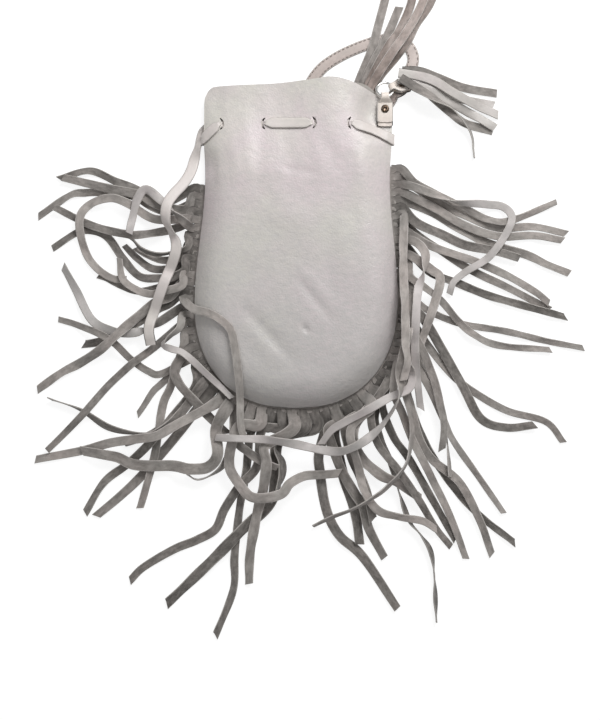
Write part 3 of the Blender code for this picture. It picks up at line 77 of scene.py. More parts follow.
# Fringe strips in photo pixels, from the seam to the tip, each with its layer (0 under, 4 over) and the
# turn about its own length in degrees.
STRIP_ROUTES: tuple[tuple[int, float, Route], ...] = (
    (0, 0, ((205, 186), (190, 192), (168, 201), (154, 199), (133, 187), (116, 181), (89, 170), (58, 178))),
    (1, 0, ((204, 194), (186, 209), (165, 207), (152, 202), (140, 195), (108, 188), (62, 177))),
    (0, 0, ((203, 203), (190, 211), (163, 211), (133, 196), (109, 192), (84, 192), (68, 195), (37, 216))),
    (1, 0, ((202, 212), (186, 223), (171, 229), (140, 235), (125, 234), (91, 225), (54, 207))),
    (2, 0, ((200, 222), (182, 226), (155, 219), (127, 203), (109, 198), (88, 205), (79, 221), (84, 250),
            (95, 267), (112, 278), (126, 279))),
    (3, 180, ((199, 230), (180, 221), (165, 204), (147, 190), (138, 199), (134, 213), (130, 234))),
    (1, 70, ((198, 238), (188, 247), (174, 252), (156, 254), (142, 249), (133, 240), (120, 232))),
    (0, 0, ((195, 258), (185, 270), (172, 277), (160, 278), (139, 276), (122, 258), (107, 237), (91, 230),
            (76, 232), (51, 248))),
    (2, 0, ((194, 275), (182, 286), (160, 292), (150, 294), (135, 289), (122, 278), (119, 258))),
    (1, 0, ((193.5, 284), (182, 288), (170, 296), (154, 303), (128, 325), (103, 348), (81, 362), (60, 373),
            (36, 390))),
    (4, 20, ((193.5, 296), (184, 303), (194, 309), (208, 313), (221, 320), (231, 330), (235, 345),
             (238, 366), (240, 390), (241, 423), (245, 440))),
    (0, 180, ((193.5, 304), (180, 314), (150, 327), (130, 333), (112, 331), (91, 320), (75, 290),
              (62, 266))),
    (4, 180, ((193.5, 314), (180, 328), (168, 338), (163, 345), (172, 349), (185, 354), (209, 376),
              (232, 398))),
    (2, 0, ((194, 323), (181, 333), (150, 350), (130, 365), (106, 387), (84, 413), (63, 434), (46, 451))),
    (1, 0, ((196, 332), (184, 345), (179, 360), (170, 387), (162, 406), (155, 452), (141, 503),
            (139, 509))),
    (2, 0, ((200, 342), (186, 352), (175, 368), (179, 383), (194, 400), (212, 420), (227, 434))),
    (0, 0, ((205, 356), (190, 368), (161, 374), (147, 371), (130, 359), (109, 339), (77, 325), (57, 319))),
    (1, 0, ((209, 363), (196, 385), (170, 420), (148, 445), (126, 465), (103, 483), (84, 514))),
    (1, 60, ((214, 371), (200, 392), (180, 414), (160, 428), (142, 433), (109, 428), (80, 410),
             (49, 399))),
    (0, 0, ((218, 376), (203, 400), (175, 437), (142, 475), (119, 497), (95, 517))),
    (2, 0, ((222, 379), (204, 402), (178, 424), (158, 435), (140, 438), (110, 443), (81, 451), (34, 460))),
    (3, 0, ((228, 384), (222, 405), (216, 430), (218, 454), (208, 467), (190, 469), (173, 466), (135, 465),
            (115, 457), (81, 451))),
    (2, 70, ((236, 390), (232, 420), (231, 448), (222, 467), (208, 477), (196, 480), (186, 474))),
    (2, 0, ((243, 395), (240, 420), (238, 441), (248, 452), (262, 461), (278, 467))),
    (3, 0, ((250, 398), (240, 425), (231, 448), (230, 468), (240, 485), (251, 496), (266, 497), (282, 493),
            (290, 483), (304, 476), (320, 475), (340, 473))),
    (0, 0, ((258, 401), (252, 430), (246, 470), (240, 505), (236, 538), (234, 560), (233, 591),
            (215, 637))),
    (1, 0, ((264, 403), (262, 430), (257, 466), (239, 487), (224, 510), (215, 530), (196, 541), (174, 550),
            (143, 568), (129, 582))),
    (2, 0, ((268, 405), (266, 445), (267, 461), (265, 478), (262, 495), (258, 510), (250, 553),
            (249, 585))),
    (1, 70, ((275, 407), (276, 445), (282, 462), (282, 476), (277, 489), (273, 500))),
    (0, 0, ((281, 407), (279, 440), (276, 475), (270, 504), (242, 530), (212, 561), (166, 605))),
    (0, 0, ((312, 406), (316, 430), (319, 454), (320, 472), (324, 500), (330, 520), (341, 538), (364, 559),
            (398, 610))),
    (1, 0, ((322, 404), (328, 430), (336, 456), (344, 475), (355, 494), (363, 507), (369, 529),
            (385, 559))),
    (0, 0, ((330, 401), (334, 430), (342, 470), (350, 495), (356, 515), (360, 545))),
    (1, 0, ((340, 397), (345, 425), (352, 457), (361, 478), (368, 497), (373, 520))),
    (2, 0, ((345, 395), (350, 430), (358, 465), (364, 490), (378, 510), (399, 517), (422, 521),
            (437, 530))),
    (1, 0, ((351, 392), (354, 425), (358, 453), (379, 474), (399, 483), (422, 500))),
    (0, 70, ((362, 384), (375, 420), (390, 460), (400, 495), (410, 522), (422, 537), (433, 560),
             (437, 623))),
    (1, 0, ((370, 377), (371, 410), (377, 442), (399, 471), (419, 500), (436, 528), (452, 548))),
    (0, 0, ((378, 369), (382, 400), (393, 435), (410, 460), (433, 500), (456, 541))),
    (2, 0, ((385, 360), (393, 390), (403, 415), (414, 443), (433, 480), (452, 520), (467, 560))),
    (3, 60, ((389, 353), (398, 372), (404, 392), (411, 420), (411, 440), (405, 464), (387, 486), (370, 498),
             (351, 509), (332, 517), (313, 527))),
    (4, 180, ((391, 348), (399, 368), (399, 392), (392, 409), (380, 426), (364, 440), (342, 450), (320, 449),
              (293, 443), (266, 439), (244, 438), (216, 437))),
    (1, 0, ((393, 342), (401, 375), (410, 403), (419, 437), (433, 460), (460, 483), (480, 520),
            (493, 556))),
    (3, 180, ((395, 336), (404, 352), (411, 372), (408, 388), (387, 398), (364, 411), (343, 422),
              (331, 430), (321, 444))),
    (0, 0, ((396, 328), (404, 370), (414, 415), (432, 455), (455, 488), (478, 514), (516, 544))),
    (2, 0, ((397, 320), (412, 352), (430, 390), (443, 418), (453, 440), (475, 471), (505, 514))),
    (1, 70, ((397, 310), (412, 340), (428, 375), (441, 408), (447, 434), (450, 477))),
    (2, 0, ((396.5, 300), (410, 325), (424, 355), (434, 380), (440, 405), (444, 425), (442, 450))),
    (0, 0, ((396, 292), (412, 318), (432, 350), (452, 374), (473, 391), (508, 411), (547, 422),
            (565, 443))),
    (1, 0, ((396, 284), (410, 302), (424, 320), (437, 340), (462, 384), (482, 419), (508, 428),
            (536, 425))),
    (0, 0, ((395, 272), (410, 293), (422, 306), (436, 314), (464, 324), (506, 331), (548, 341),
            (585, 348))),
    (1, 0, ((395, 262), (410, 277), (425, 288), (442, 301), (459, 321), (475, 335), (499, 345),
            (552, 350))),
    (2, 0, ((395, 252), (415, 263), (432, 270), (440, 278), (436, 298), (429, 318), (420, 345))),
    (0, 0, ((395, 242), (408, 256), (430, 271), (459, 283), (492, 296), (527, 306), (567, 317))),
    (3, 180, ((394, 232), (405, 238), (418, 244), (425, 256), (422, 275), (416, 297), (414, 346),
              (417, 380), (421, 409))),
    (1, 0, ((394, 222), (405, 230), (430, 245), (455, 254), (478, 262), (506, 274), (534, 290),
            (550, 303))),
    (0, 0, ((393.5, 214), (403, 225), (420, 236), (443, 251), (471, 269), (506, 286), (551, 309))),
    (4, 10, ((393, 205), (401, 210), (404, 222), (403, 250), (403, 276), (404, 320), (404, 346), (406, 361),
             (402, 380))),
    (1, 0, ((392.5, 197), (403, 211), (416, 222), (443, 234), (467, 245), (492, 250), (520, 258))),
    (0, 0, ((392, 189), (410, 199), (432, 211), (467, 232), (492, 244), (527, 254), (548, 264),
            (571, 273))),
    (2, 0, ((391.5, 181), (405, 190), (432, 206), (467, 226), (500, 236), (534, 235), (564, 240))),
    (3, 180, ((391, 176), (420, 189), (455, 202), (485, 204), (503, 206), (512, 217), (506, 234),
              (489, 257), (467, 271), (454, 282), (450, 294))),
    (1, 0, ((391, 171), (405, 179), (432, 197), (464, 214), (499, 227), (534, 226), (568, 233))),
    (2, 0, ((391, 166), (415, 182), (440, 195), (467, 209), (489, 219), (512, 220), (558, 201))),
)

# The lace's free left end, from where it leaves the pouch's edge.
LACE_TAIL: Route = (
    (203, 131), (199.5, 140), (195, 155), (191, 171), (184, 184), (174, 196), (168, 207), (167, 222),
    (172, 233), (177, 246), (174, 260), (164, 284), (155, 309), (149, 328), (151, 345),
)
# The wrist strap from its lower end in the tab, under the pouch, round and back, with its height in mm.
STRAP_ROUTE: tuple[tuple[float, float, float], ...] = (
    (394.5, 93.5, 4.6), (391, 99, 3.0), (386.5, 106, 1.5), (379, 115, 1.1), (364, 123, 1.0),
    (346, 127, 1.0), (329, 125, 1.0), (316, 117, 1.0), (309, 105, 1.0), (308, 91, 1.0),
    (313, 78, 1.0), (324, 65, 1.0), (340, 54.5, 1.0), (356, 47, 1.0), (371, 41.5, 1.0),
    (386, 38, 1.0), (399, 39, 1.0), (409, 45, 1.2), (413.5, 54, 1.6), (413, 63, 2.4),
)
# Strips of the tassels with the turn of each in degrees, in the order in which they lie.
TASSEL_1: tuple[tuple[float, Route], ...] = (
    (0, ((354, 96), (361, 76), (370, 54), (374.5, 41), (378.5, 25), (385, 0), (390, -22), (392, -40))),
    (180, ((368, 97), (380, 75), (395, 57), (408, 40), (417, 22), (430, 3), (441, -24), (449, -48))),
    (0, ((359, 97), (368, 73), (383, 44), (391, 27), (400, 5))),
    (180, ((364, 97), (370, 80), (387, 48), (400, 29), (411, 4), (416, -18), (428, -44))),
    (180, ((366, 97), (375, 79), (391, 54), (405, 34), (419, 10), (429, -14), (439, -42))),
)
TASSEL_2: tuple[tuple[float, Route], ...] = (
    (0, ((402, 78), (420, 86), (433, 97), (450, 110), (466, 122), (494, 130))),
    (0, ((402, 72), (418, 72), (439, 78), (468, 87), (498, 92))),
    (180, ((400, 76), (426, 83), (448, 93), (468, 99), (495, 104))),
    (180, ((398, 80), (412, 84), (430, 92), (454, 104), (476, 115), (496, 127))),
    (180, ((398, 74), (413, 76), (432, 82), (454, 94), (476, 104), (499, 114))),
    (75, ((400, 79), (430, 98), (452, 110), (467, 125), (473, 137), (474, 148), (475, 157))),
)
# Where the second tassel's head ends and its strips begin, as x in millimetres.
TASSEL_2_CUT = 90.5


def smooth(low: float, high: float, value: Array | float) -> Array | float:
    """Rises from 0 at low to 1 at high as 3t² − 2t³, level at both ends."""
    t = np.clip((np.asarray(value, float) - low) / (high - low), 0.0, 1.0)
    return t * t * (3.0 - 2.0 * t)


def on_table(pixels: Route) -> Array:
    """Places on the table, in millimetres, of photo pixels."""
    at = np.asarray(pixels, float)
    return np.stack([(at[:, 0] - PIXEL_X0) * MM_PER_PIXEL, (PIXEL_Y0 - at[:, 1]) * MM_PER_PIXEL], axis=1)


def unit(vectors: Array) -> Array:
    """Vectors divided by their length, along the last axis."""
    return vectors / np.linalg.norm(vectors, axis=-1, keepdims=True)


def run(points: Array) -> Array:
    """Length along a path at each of its points."""
    return np.concatenate([[0.0], np.cumsum(np.linalg.norm(np.diff(points, axis=0), axis=1))])


def resample(points: Array, step: float) -> Array:
    """Points a step apart along a path, interpolated in a straight line between the given ones.

    Args:
        points: the path, with anything that goes with a place in its row.
        step: distance between the new points.

    Returns:
        The new rows.
    """
    length = run(points[:, :3])
    even = np.linspace(0.0, length[-1], max(3, int(round(length[-1] / step)) + 1))
    return np.stack([np.interp(even, length, column) for column in points.T], axis=1)


def spline(points: Array, step: float) -> Array:
    """Even points on a curve through the given ones, with each stretch a cubic of its four neighbours.

    Args:
        points: what the curve passes through.
        step: distance between the new points.

    Returns:
        Points on the curve.
    """
    points = np.asarray(points, float)
    padded = np.concatenate([[2 * points[0] - points[1]], points, [2 * points[-1] - points[-2]]])
    t = np.linspace(0.0, 1.0, 12, endpoint=False)[None, :, None]
    a, b, c, d = (padded[i : len(padded) - 3 + i, None, :] for i in range(4))
    bend, twist = 2 * a - 5 * b + 4 * c - d, 3 * b - a - 3 * c + d
    dense = 0.5 * (2 * b + (c - a) * t + bend * t**2 + twist * t**3)
    return resample(np.concatenate([dense.reshape(-1, points.shape[1]), points[-1:]]), step)


def tangents(points: Array) -> Array:
    """Unit direction of a path at each point, from its two neighbours."""
    return unit(np.gradient(points, axis=0))


def rounded(corners: Array, radius: float) -> Array:
    """Puts a short parabolic arc at each inner corner of a path.

    Args:
        corners: a place and its across direction in each row.
        radius: the arcs' radius.

    Returns:
        The rows, with arcs in place of the corners.
    """
    made = [corners[0]]
    for before, here, after in zip(corners, corners[1:], corners[2:]):
        back, on = before[:3] - here[:3], after[:3] - here[:3]
        bend = math.pi - math.acos(float(np.clip(unit(back) @ unit(on), -1.0, 1.0)))
        cut = min(radius * math.tan(bend / 2), 0.49 * np.linalg.norm(back), 0.49 * np.linalg.norm(on))
        start, end = here[:3] + unit(back) * cut, here[:3] + unit(on) * cut
        for t in np.linspace(0.0, 1.0, max(1, math.ceil(bend / 0.2)) + 1):
            place = start * (1 - t) ** 2 + 2 * here[:3] * t * (1 - t) + end * t**2
            made.append(np.concatenate([place, here[3:]]))
    return np.array(made + [corners[-1]])


def window(values: Array, reach: int) -> Array:
    """Each value with its neighbours up to a reach on both sides, as rows."""
    padded = np.pad(values, reach, mode="edge")
    return np.lib.stride_tricks.sliding_window_view(padded, 2 * reach + 1)


# Finishes.


class Socket(Enum):
    """Kinds of sockets on a shader node group."""

    COLOUR = "NodeSocketColor"
    VALUE = "NodeSocketFloat"


def node_group(name: str, inputs: dict[str, Socket], outputs: dict[str, Socket]) -> bpy.types.NodeTree:
    """A shader node group with named sockets, and its input and output nodes named In and Out.

    Args:
        name: its name.
        inputs: kind of each input.
        outputs: kind of each output.

    Returns:
        The group's tree.
    """
    tree = bpy.data.node_groups.new(name, "ShaderNodeTree")
    for label, kind in inputs.items():
        tree.interface.new_socket(label, in_out="INPUT", socket_type=kind.value)
    for label, kind in outputs.items():
        tree.interface.new_socket(label, in_out="OUTPUT", socket_type=kind.value)
    tree.nodes.new("NodeGroupInput").name = "In"
    tree.nodes.new("NodeGroupOutput").name = "Out"
    return tree


@dataclass
class Shading:
    """Short calls that add nodes to one node tree."""

    tree: bpy.types.NodeTree

    def node(self, kind: str, settings: dict | None = None, **values: Value) -> bpy.types.Node:
        """Adds a node, sets its properties, and sets or links its inputs by name.

        Args:
            kind: Blender's type name of the node.
            settings: properties of the node itself.
            values: an input's name, with _ for a space, and its number, colour or linked socket.

        Returns:
            The node.
        """
        made = self.tree.nodes.new(kind)
        for key, value in (settings or {}).items():
            setattr(made, key, value)
        for key, value in values.items():
            self.fill(made.inputs[key.replace("_", " ")], value)
        return made

    def fill(self, socket: Output, value: Value) -> None:
        """Sets an input to a number or colour, or links an output to it.

        Args:
            socket: the input.
            value: what goes into it.
        """
        if isinstance(value, Output):
            self.tree.links.new(value, socket)
        else:
            socket.default_value = value

    def noise(self, place: Output, scale: float | Output,
              detail: float = 2.0, rough: float = 0.5) -> Output:
        """Value of a noise texture at a place."""
        return self.node("ShaderNodeTexNoise", Vector=place, Scale=scale, Detail=detail,
                         Roughness=rough).outputs["Fac"]

    def maths(self, operation: str, a: Value, b: Value) -> Output:
        """Result of a Math node on two numbers or sockets.

        Args:
            operation: Blender's name of it.
            a, b: what it works on.

        Returns:
            Its output.
        """
        made = self.node("ShaderNodeMath", {"operation": operation})
        for socket, value in zip(made.inputs, (a, b)):
            self.fill(socket, value)
        return made.outputs[0]

    def mix(self, share: Value, a: Value, b: Value) -> Output:
        """A colour between two colours.

        Args:
            share: how much of the second colour.
            a, b: the colours.

        Returns:
            Its output.
        """
        made = self.node("ShaderNodeMix", {"data_type": "RGBA"})
        for number, value in ((0, share), (6, a), (7, b)):
            self.fill(made.inputs[number], value)
        return made.outputs[2]

    def ramp(self, value: Value, low: float, high: float) -> Output:
        """A value stretched so that low becomes 0 and high becomes 1.

        Args:
            value: the value.
            low: what becomes 0.
            high: what becomes 1.

        Returns:
            Its output, held between 0 and 1.
        """
        made = self.node("ShaderNodeMapRange", Value=value)
        made.inputs["From Min"].default_value = low
        made.inputs["From Max"].default_value = high
        return made.outputs[0]


# How fast the streaks' noise changes along a strip, across it and from strip to strip.
STREAK_SCALE = (0.18, 0.36, 1.0)
# Where the fade begins and is full, as y in metres: painted shade towards the round bottom, with a greyer
# tone there. Where the painted shade at a strip's root begins and is full, in mm.
FADE_SPAN = (0.07, -0.09)
ROOT_SHADE_SPAN = (22.0, 8.0)
# Colour of the painted shade at a strip's root, where it goes in under the seam.
ROOT_SHADE_COLOUR = (0.04, 0.036, 0.032, 1.0)


class SharedEffects:
    """Node groups that several finishes use."""

    def __init__(self) -> None:
        """Builds the groups once."""
        self.mottle = self.build_mottle()
        self.grain = self.build_grain()
        self.nap = self.build_nap()

    def build_mottle(self) -> bpy.types.NodeTree:
        """Soft clouds of two tints and a shade that follows streaks, the strip's tone and the pouch's length.

        Streaks are noise over the marks, a little longer along a strip. The fade grows from the neck to the
        round
        bottom: painted shade there, along with a greyer tone. The roots of strips are darker with painted
        shade.

        Returns:
            The group, which gives a colour.
        """
        tree = node_group("mottle", {"Base": Socket.COLOUR, "Tint": Socket.COLOUR, "Shade": Socket.COLOUR,
                                     "Clouds": Socket.VALUE, "Streaks": Socket.VALUE, "Fade": Socket.VALUE,
                                     "Roots": Socket.VALUE}, {"Colour": Socket.COLOUR})
        make = Shading(tree)
        get, place = tree.nodes["In"].outputs, make.node("ShaderNodeTexCoord").outputs["Object"]
        clouds = make.ramp(make.noise(place, get["Clouds"], 3.0, 0.55), 0.38, 0.62)
        tinted = make.mix(clouds, get["Base"], get["Tint"])
        mark = make.node("ShaderNodeAttribute", {"attribute_name": "mark"}).outputs["Vector"]
        drawn = make.node("ShaderNodeVectorMath", {"operation": "MULTIPLY"})
        drawn.inputs[1].default_value = STREAK_SCALE
        tree.links.new(mark, drawn.inputs[0])
        streaks = make.ramp(make.noise(drawn.outputs[0], 1.0, 4.0, 0.65), 0.34, 0.7)
        tone = make.node("ShaderNodeAttribute", {"attribute_name": "tone"}).outputs["Fac"]
        along = make.node("ShaderNodeSeparateXYZ", Vector=place).outputs["Y"]
        # The fade: painted shade towards the round bottom, along with a greyer tone there.
        fade = make.maths("MULTIPLY", make.ramp(along, *FADE_SPAN), get["Fade"])
        toned = make.maths("ADD", make.maths("MULTIPLY", tone, 0.5), fade)
        shade = make.maths("ADD", make.maths("MULTIPLY", streaks, get["Streaks"]), toned)
        shade = make.ramp(shade, 0.0, 1.0)
        # Painted shade at a strip's root: the colour goes towards a dark colour near where the strip starts.
        length = make.node("ShaderNodeSeparateXYZ", Vector=mark).outputs["X"]
        root = make.maths("MULTIPLY", make.ramp(length, *ROOT_SHADE_SPAN), get["Roots"])
        dressed = make.mix(root, make.mix(shade, tinted, get["Shade"]), ROOT_SHADE_COLOUR)
        tree.links.new(dressed, tree.nodes["Out"].inputs["Colour"])
        return tree

    def build_grain(self) -> bpy.types.NodeTree:
        """Leather grain as a height: fine cells, creases a few millimetres wide and broad soft hollows.

        Returns:
            The group, which gives a height.
        """
        tree = node_group("leather_grain", {"Scale": Socket.VALUE}, {"Height": Socket.VALUE})
        make = Shading(tree)
        scale, place = tree.nodes["In"].outputs["Scale"], make.node("ShaderNodeTexCoord").outputs["Object"]
        cells = make.node("ShaderNodeTexVoronoi", {"feature": "SMOOTH_F1"}, Vector=place, Scale=scale)
        soft = make.noise(place, make.maths("MULTIPLY", scale, 0.2), 4.0, 0.65)
        broad = make.noise(place, make.maths("MULTIPLY", scale, 0.055), 2.0, 0.5)
        fine = make.maths("MULTIPLY", cells.outputs["Distance"], 0.16)
        height = make.maths("ADD", make.maths("ADD", fine, make.maths("MULTIPLY", soft, 0.45)), broad)
        tree.links.new(height, tree.nodes["Out"].inputs["Height"])
        return tree

    def build_nap(self) -> bpy.types.NodeTree:
        """Suede nap: short tangled fibres, as a height.

        Returns:
            The group, which gives a height.
        """
        tree = node_group("suede_nap", {"Scale": Socket.VALUE}, {"Height": Socket.VALUE})
        make = Shading(tree)
        scale, place = tree.nodes["In"].outputs["Scale"], make.node("ShaderNodeTexCoord").outputs["Object"]
        fibres = make.noise(place, scale, 6.0, 0.75)
        tree.links.new(fibres, tree.nodes["Out"].inputs["Height"])
        return tree


class Surface(Enum):
    """The two sides of leather."""

    GRAIN = "grain"
    SUEDE = "nap"


@dataclass(frozen=True)
class Leather:
    """A leather finish, on its grain side or its suede side. Colours are linear."""

    name: str
    base: tuple[float, float, float]
    tint: tuple[float, float, float]
    shade: tuple[float, float, float]
    surface: Surface = Surface.GRAIN
    clouds: float = 22.0
    streaks: float = 0.4
    # Share of painted shade towards the pouch's round bottom, along with a greyer tone there.
    fade: float = 0.0
    # Share of painted shade at the roots of strips, where they go in under the seam.
    roots: float = 0.0
    roughness: float = 0.5
    sheen: float = 0.0
    coat: float = 0.0
    scale: float = 900.0
    relief: float = 0.35
    relief_depth: float = 1.2 * MM
    coat_roughness: float = 0.35

    def material(self, effects: SharedEffects) -> Material:
        """The finish as a material.

        Args:
            effects: the shared node groups.

        Returns:
            The material, with its Principled shader in it.
        """
        made = bpy.data.materials.new(self.name)
        made.use_nodes = True
        make = Shading(made.node_tree)
        base, tint, shade = ((*linear, 1.0) for linear in (self.base, self.tint, self.shade))
        colour = make.node("ShaderNodeGroup", {"node_tree": effects.mottle}, Base=base, Tint=tint,
                           Shade=shade, Clouds=self.clouds, Streaks=self.streaks, Fade=self.fade,
                           Roots=self.roots)
        side = effects.grain if self.surface is Surface.GRAIN else effects.nap
        relief = make.node("ShaderNodeGroup", {"node_tree": side}, Scale=self.scale)
        bump = make.node("ShaderNodeBump", Strength=self.relief, Distance=self.relief_depth,
                         Height=relief.outputs["Height"])
        shader = made.node_tree.nodes["Principled BSDF"]
        for label, value in (("Base Color", colour.outputs["Colour"]), ("Normal", bump.outputs["Normal"]),
                             ("Roughness", self.roughness), ("Sheen Weight", self.sheen),
                             ("Coat Weight", self.coat), ("Coat Roughness", self.coat_roughness)):
            make.fill(shader.inputs[label], value)
        return made


@dataclass(frozen=True)
class Metal:
    """A plated finish: bright metal that darkens where a noise says it is tarnished."""

    name: str
    bright: tuple[float, float, float]
    dark: tuple[float, float, float]
    roughness: float
    tarnish: tuple[float, float]
    scale: float = 900.0
    wear: float = 0.25

    def material(self, effects: SharedEffects) -> Material:
        """The finish as a material.

        Args:
            effects: the shared groups, which no metal uses.

        Returns:
            The material.
        """
        made = bpy.data.materials.new(self.name)
        made.use_nodes = True
        make = Shading(made.node_tree)
        shader = made.node_tree.nodes["Principled BSDF"]
        place = make.node("ShaderNodeTexCoord").outputs["Object"]
        worn = make.ramp(make.noise(place, self.scale, 4.0, 0.6), *self.tarnish)
        made.node_tree.links.new(make.mix(worn, (*self.bright, 1.0), (*self.dark, 1.0)),
                                 shader.inputs["Base Color"])
        rough = make.node("ShaderNodeMapRange", Value=worn)
        rough.inputs["To Min"].default_value = self.roughness
        rough.inputs["To Max"].default_value = self.roughness + self.wear
        made.node_tree.links.new(rough.outputs[0], shader.inputs["Roughness"])
        shader.inputs["Metallic"].default_value = 1.0
        return made


# Fade and roots set painted shade: towards the round bottom of the pearl leather, with a greyer tone there,
# and at the start of each strip on the cut edge and the suede.
FINISHES: tuple[Leather | Metal, ...] = (
    Leather("pearl_leather", (0.68, 0.655, 0.59), (0.71, 0.61, 0.625), (0.53, 0.51, 0.50), coat=0.13,
            clouds=16.0, streaks=0.45, fade=0.5, roughness=0.42, relief=0.7),
    Leather("pearl_inside", (0.40, 0.37, 0.345), (0.42, 0.39, 0.36), (0.33, 0.31, 0.29), Surface.SUEDE,
            roughness=0.95, sheen=0.2, scale=1500.0, relief=0.1),
    Leather("cut_edge", (0.50, 0.47, 0.44), (0.53, 0.49, 0.47), (0.38, 0.36, 0.335), Surface.SUEDE,
            roots=0.92, roughness=0.9, scale=1500.0, relief=0.1),
    Leather("lace_grain", (0.68, 0.63, 0.59), (0.70, 0.63, 0.61), (0.58, 0.555, 0.53), roughness=0.5,
            coat=0.08),
    Leather("suede", (0.41, 0.385, 0.36), (0.44, 0.395, 0.37), (0.125, 0.115, 0.105), Surface.SUEDE,
            clouds=30.0, streaks=0.5, roots=0.3, roughness=0.95, sheen=0.25, scale=1400.0,
            relief=0.12),
    Leather("strip_grain", (0.56, 0.53, 0.51), (0.58, 0.53, 0.52), (0.40, 0.385, 0.37), clouds=30.0,
            streaks=0.5, roughness=0.55),
    Leather("tassel_grain", (0.35, 0.285, 0.255), (0.39, 0.31, 0.28), (0.15, 0.125, 0.11), clouds=40.0,
            streaks=0.7, roughness=0.5),
    Leather("pale_tassel_grain", (0.56, 0.53, 0.50), (0.59, 0.54, 0.52), (0.42, 0.40, 0.38), clouds=40.0,
            streaks=0.5, roughness=0.5),
    Leather("cream_leather", (0.82, 0.75, 0.68), (0.82, 0.73, 0.67), (0.60, 0.55, 0.50), clouds=60.0,
            roughness=0.42, coat=0.1),
    Leather("strap_grain", (0.52, 0.45, 0.415), (0.56, 0.475, 0.44), (0.40, 0.35, 0.325), clouds=40.0,
            streaks=0.5, roughness=0.5),
    Leather("thread", (0.26, 0.225, 0.21), (0.28, 0.235, 0.22), (0.20, 0.18, 0.165), roughness=0.8,
            scale=2500.0, relief=0.1),
    Metal("antique_brass", (0.25, 0.18, 0.13), (0.04, 0.03, 0.024), 0.32, (0.38, 0.58)),
    Metal("nickel", (0.80, 0.79, 0.77), (0.40, 0.39, 0.38), 0.16, (0.55, 0.85)),
)


# Meshes.


# Added to the first mark of what isn't a strip, so that it counts as far from any root and gets no painted
# root shade.
PLAIN_MARK = 200.0
# Tone of what has none of its own, and how far apart a step of 1 in tone puts two strips' streaks.
PLAIN_TONE = 0.35
TONE_APART = 40.0
# Material numbers of a strip or sheet: its upper side, its lower side, its cut edge, and thread on it.
UPPER, LOWER, EDGE, THREAD = range(4)


@dataclass
class Skin:
    """Points, four-sided faces, their material numbers and a tone for each point, gathered for one mesh."""

    points: list[Array] = field(default_factory=list)
    faces: list[Array] = field(default_factory=list)
    slots: list[Array] = field(default_factory=list)
    tones: list[Array] = field(default_factory=list)
    marks: list[Array] = field(default_factory=list)
    count: int = 0

    def add(self, points: Array, faces: Array, slots: Array | int, tone: float = PLAIN_TONE,
            marks: Array | None = None) -> None:
        """Adds points in millimetres and faces that count from the first of them.

        Args:
            points: the points.
            faces: four point numbers for each face.
            slots: a material number for all faces or for each.
            tone: how far towards the finish's shade the points are.
            marks: for streaks, length along and distance across at each point, and a number of the strip.
        """
        self.points.append(points.reshape(-1, 3))
        self.faces.append(faces + self.count)
        self.slots.append(np.broadcast_to(slots, len(faces)))
        self.tones.append(np.full(len(self.points[-1]), tone))
        plain = points.reshape(-1, 3) + (PLAIN_MARK, 0.0, 0.0)
        self.marks.append(plain if marks is None else marks.reshape(-1, 3))
        self.count += len(self.points[-1])

    def add_faces(self, faces: Array, slot: int) -> None:
        """Adds faces of one material between points that are there, numbered from the skin's first."""
        self.faces.append(faces)
        self.slots.append(np.full(len(faces), slot))

    def mesh(self, name: str, materials: list[Material], sharp: float = 50.0) -> Piece:
        """Makes the object, smooth but for edges sharper than an angle in degrees.

        Args:
            name: its name.
            materials: its materials, in order.
            sharp: the angle.

        Returns:
            The object.
        """
        points = np.concatenate(self.points) * MM
        faces = np.concatenate(self.faces)
        made = bpy.data.meshes.new(name)
        made.vertices.add(len(points))
        made.vertices.foreach_set("co", points.astype(np.float32).ravel())
        made.loops.add(faces.size)
        made.loops.foreach_set("vertex_index", faces.astype(np.int32).ravel())
        made.polygons.add(len(faces))
        made.polygons.foreach_set("loop_start", np.arange(len(faces), dtype=np.int32) * 4)
        made.polygons.foreach_set("material_index", np.concatenate(self.slots).astype(np.int32))
        made.update(calc_edges=True)
        made.validate()
        tones = np.concatenate(self.tones).astype(np.float32)
        made.attributes.new("tone", "FLOAT", "POINT").data.foreach_set("value", tones)
        marks = np.concatenate(self.marks).astype(np.float32).ravel()
        made.attributes.new("mark", "FLOAT_VECTOR", "POINT").data.foreach_set("vector", marks)
        for material in materials:
            made.materials.append(material)
        made.polygons.foreach_set("use_smooth", np.ones(len(made.polygons), bool))
        made.set_sharp_from_angle(angle=math.radians(sharp))
        obj = bpy.data.objects.new(name, made)
        bpy.context.scene.collection.objects.link(obj)
        return obj


def grid_faces(rows: int, columns: int, closed: bool = False) -> Array:
    """Faces of a grid of points, row by row. Closed joins the last column to the first.

    Args:
        rows: rows of points.
        columns: points in a row.
        closed: whether the last column joins the first.

    Returns:
        Four point numbers a face.
    """
    wide = columns if closed else columns - 1
    i, j = np.meshgrid(np.arange(rows - 1), np.arange(wide), indexing="ij")
    k = (j + 1) % columns
    return np.stack([i * columns + j, i * columns + k, (i + 1) * columns + k, (i + 1) * columns + j],
                    axis=-1).reshape(-1, 4)


# Outline of a strip's cross-section: top from left to right, right edge, bottom back, left edge.
ACROSS = np.array([-0.88, -0.5, 0.0, 0.5, 0.88, 1.0, 1.0, 0.88, 0.5, 0.0, -0.5, -0.88, -1.0, -1.0])
RISE = np.array([1.0, 1.0, 1.0, 1.0, 1.0, 0.35, -0.35, -1.0, -1.0, -1.0, -1.0, -1.0, -0.35, 0.35])
RING_SLOTS = np.array([UPPER] * 4 + [EDGE] * 3 + [LOWER] * 4 + [EDGE] * 3)
# Faces that close a strip's first ring.
START_CAP = np.array([[j, 11 - j, 10 - j, j + 1] for j in range(4)] + [[4, 7, 6, 5], [0, 13, 12, 11]])


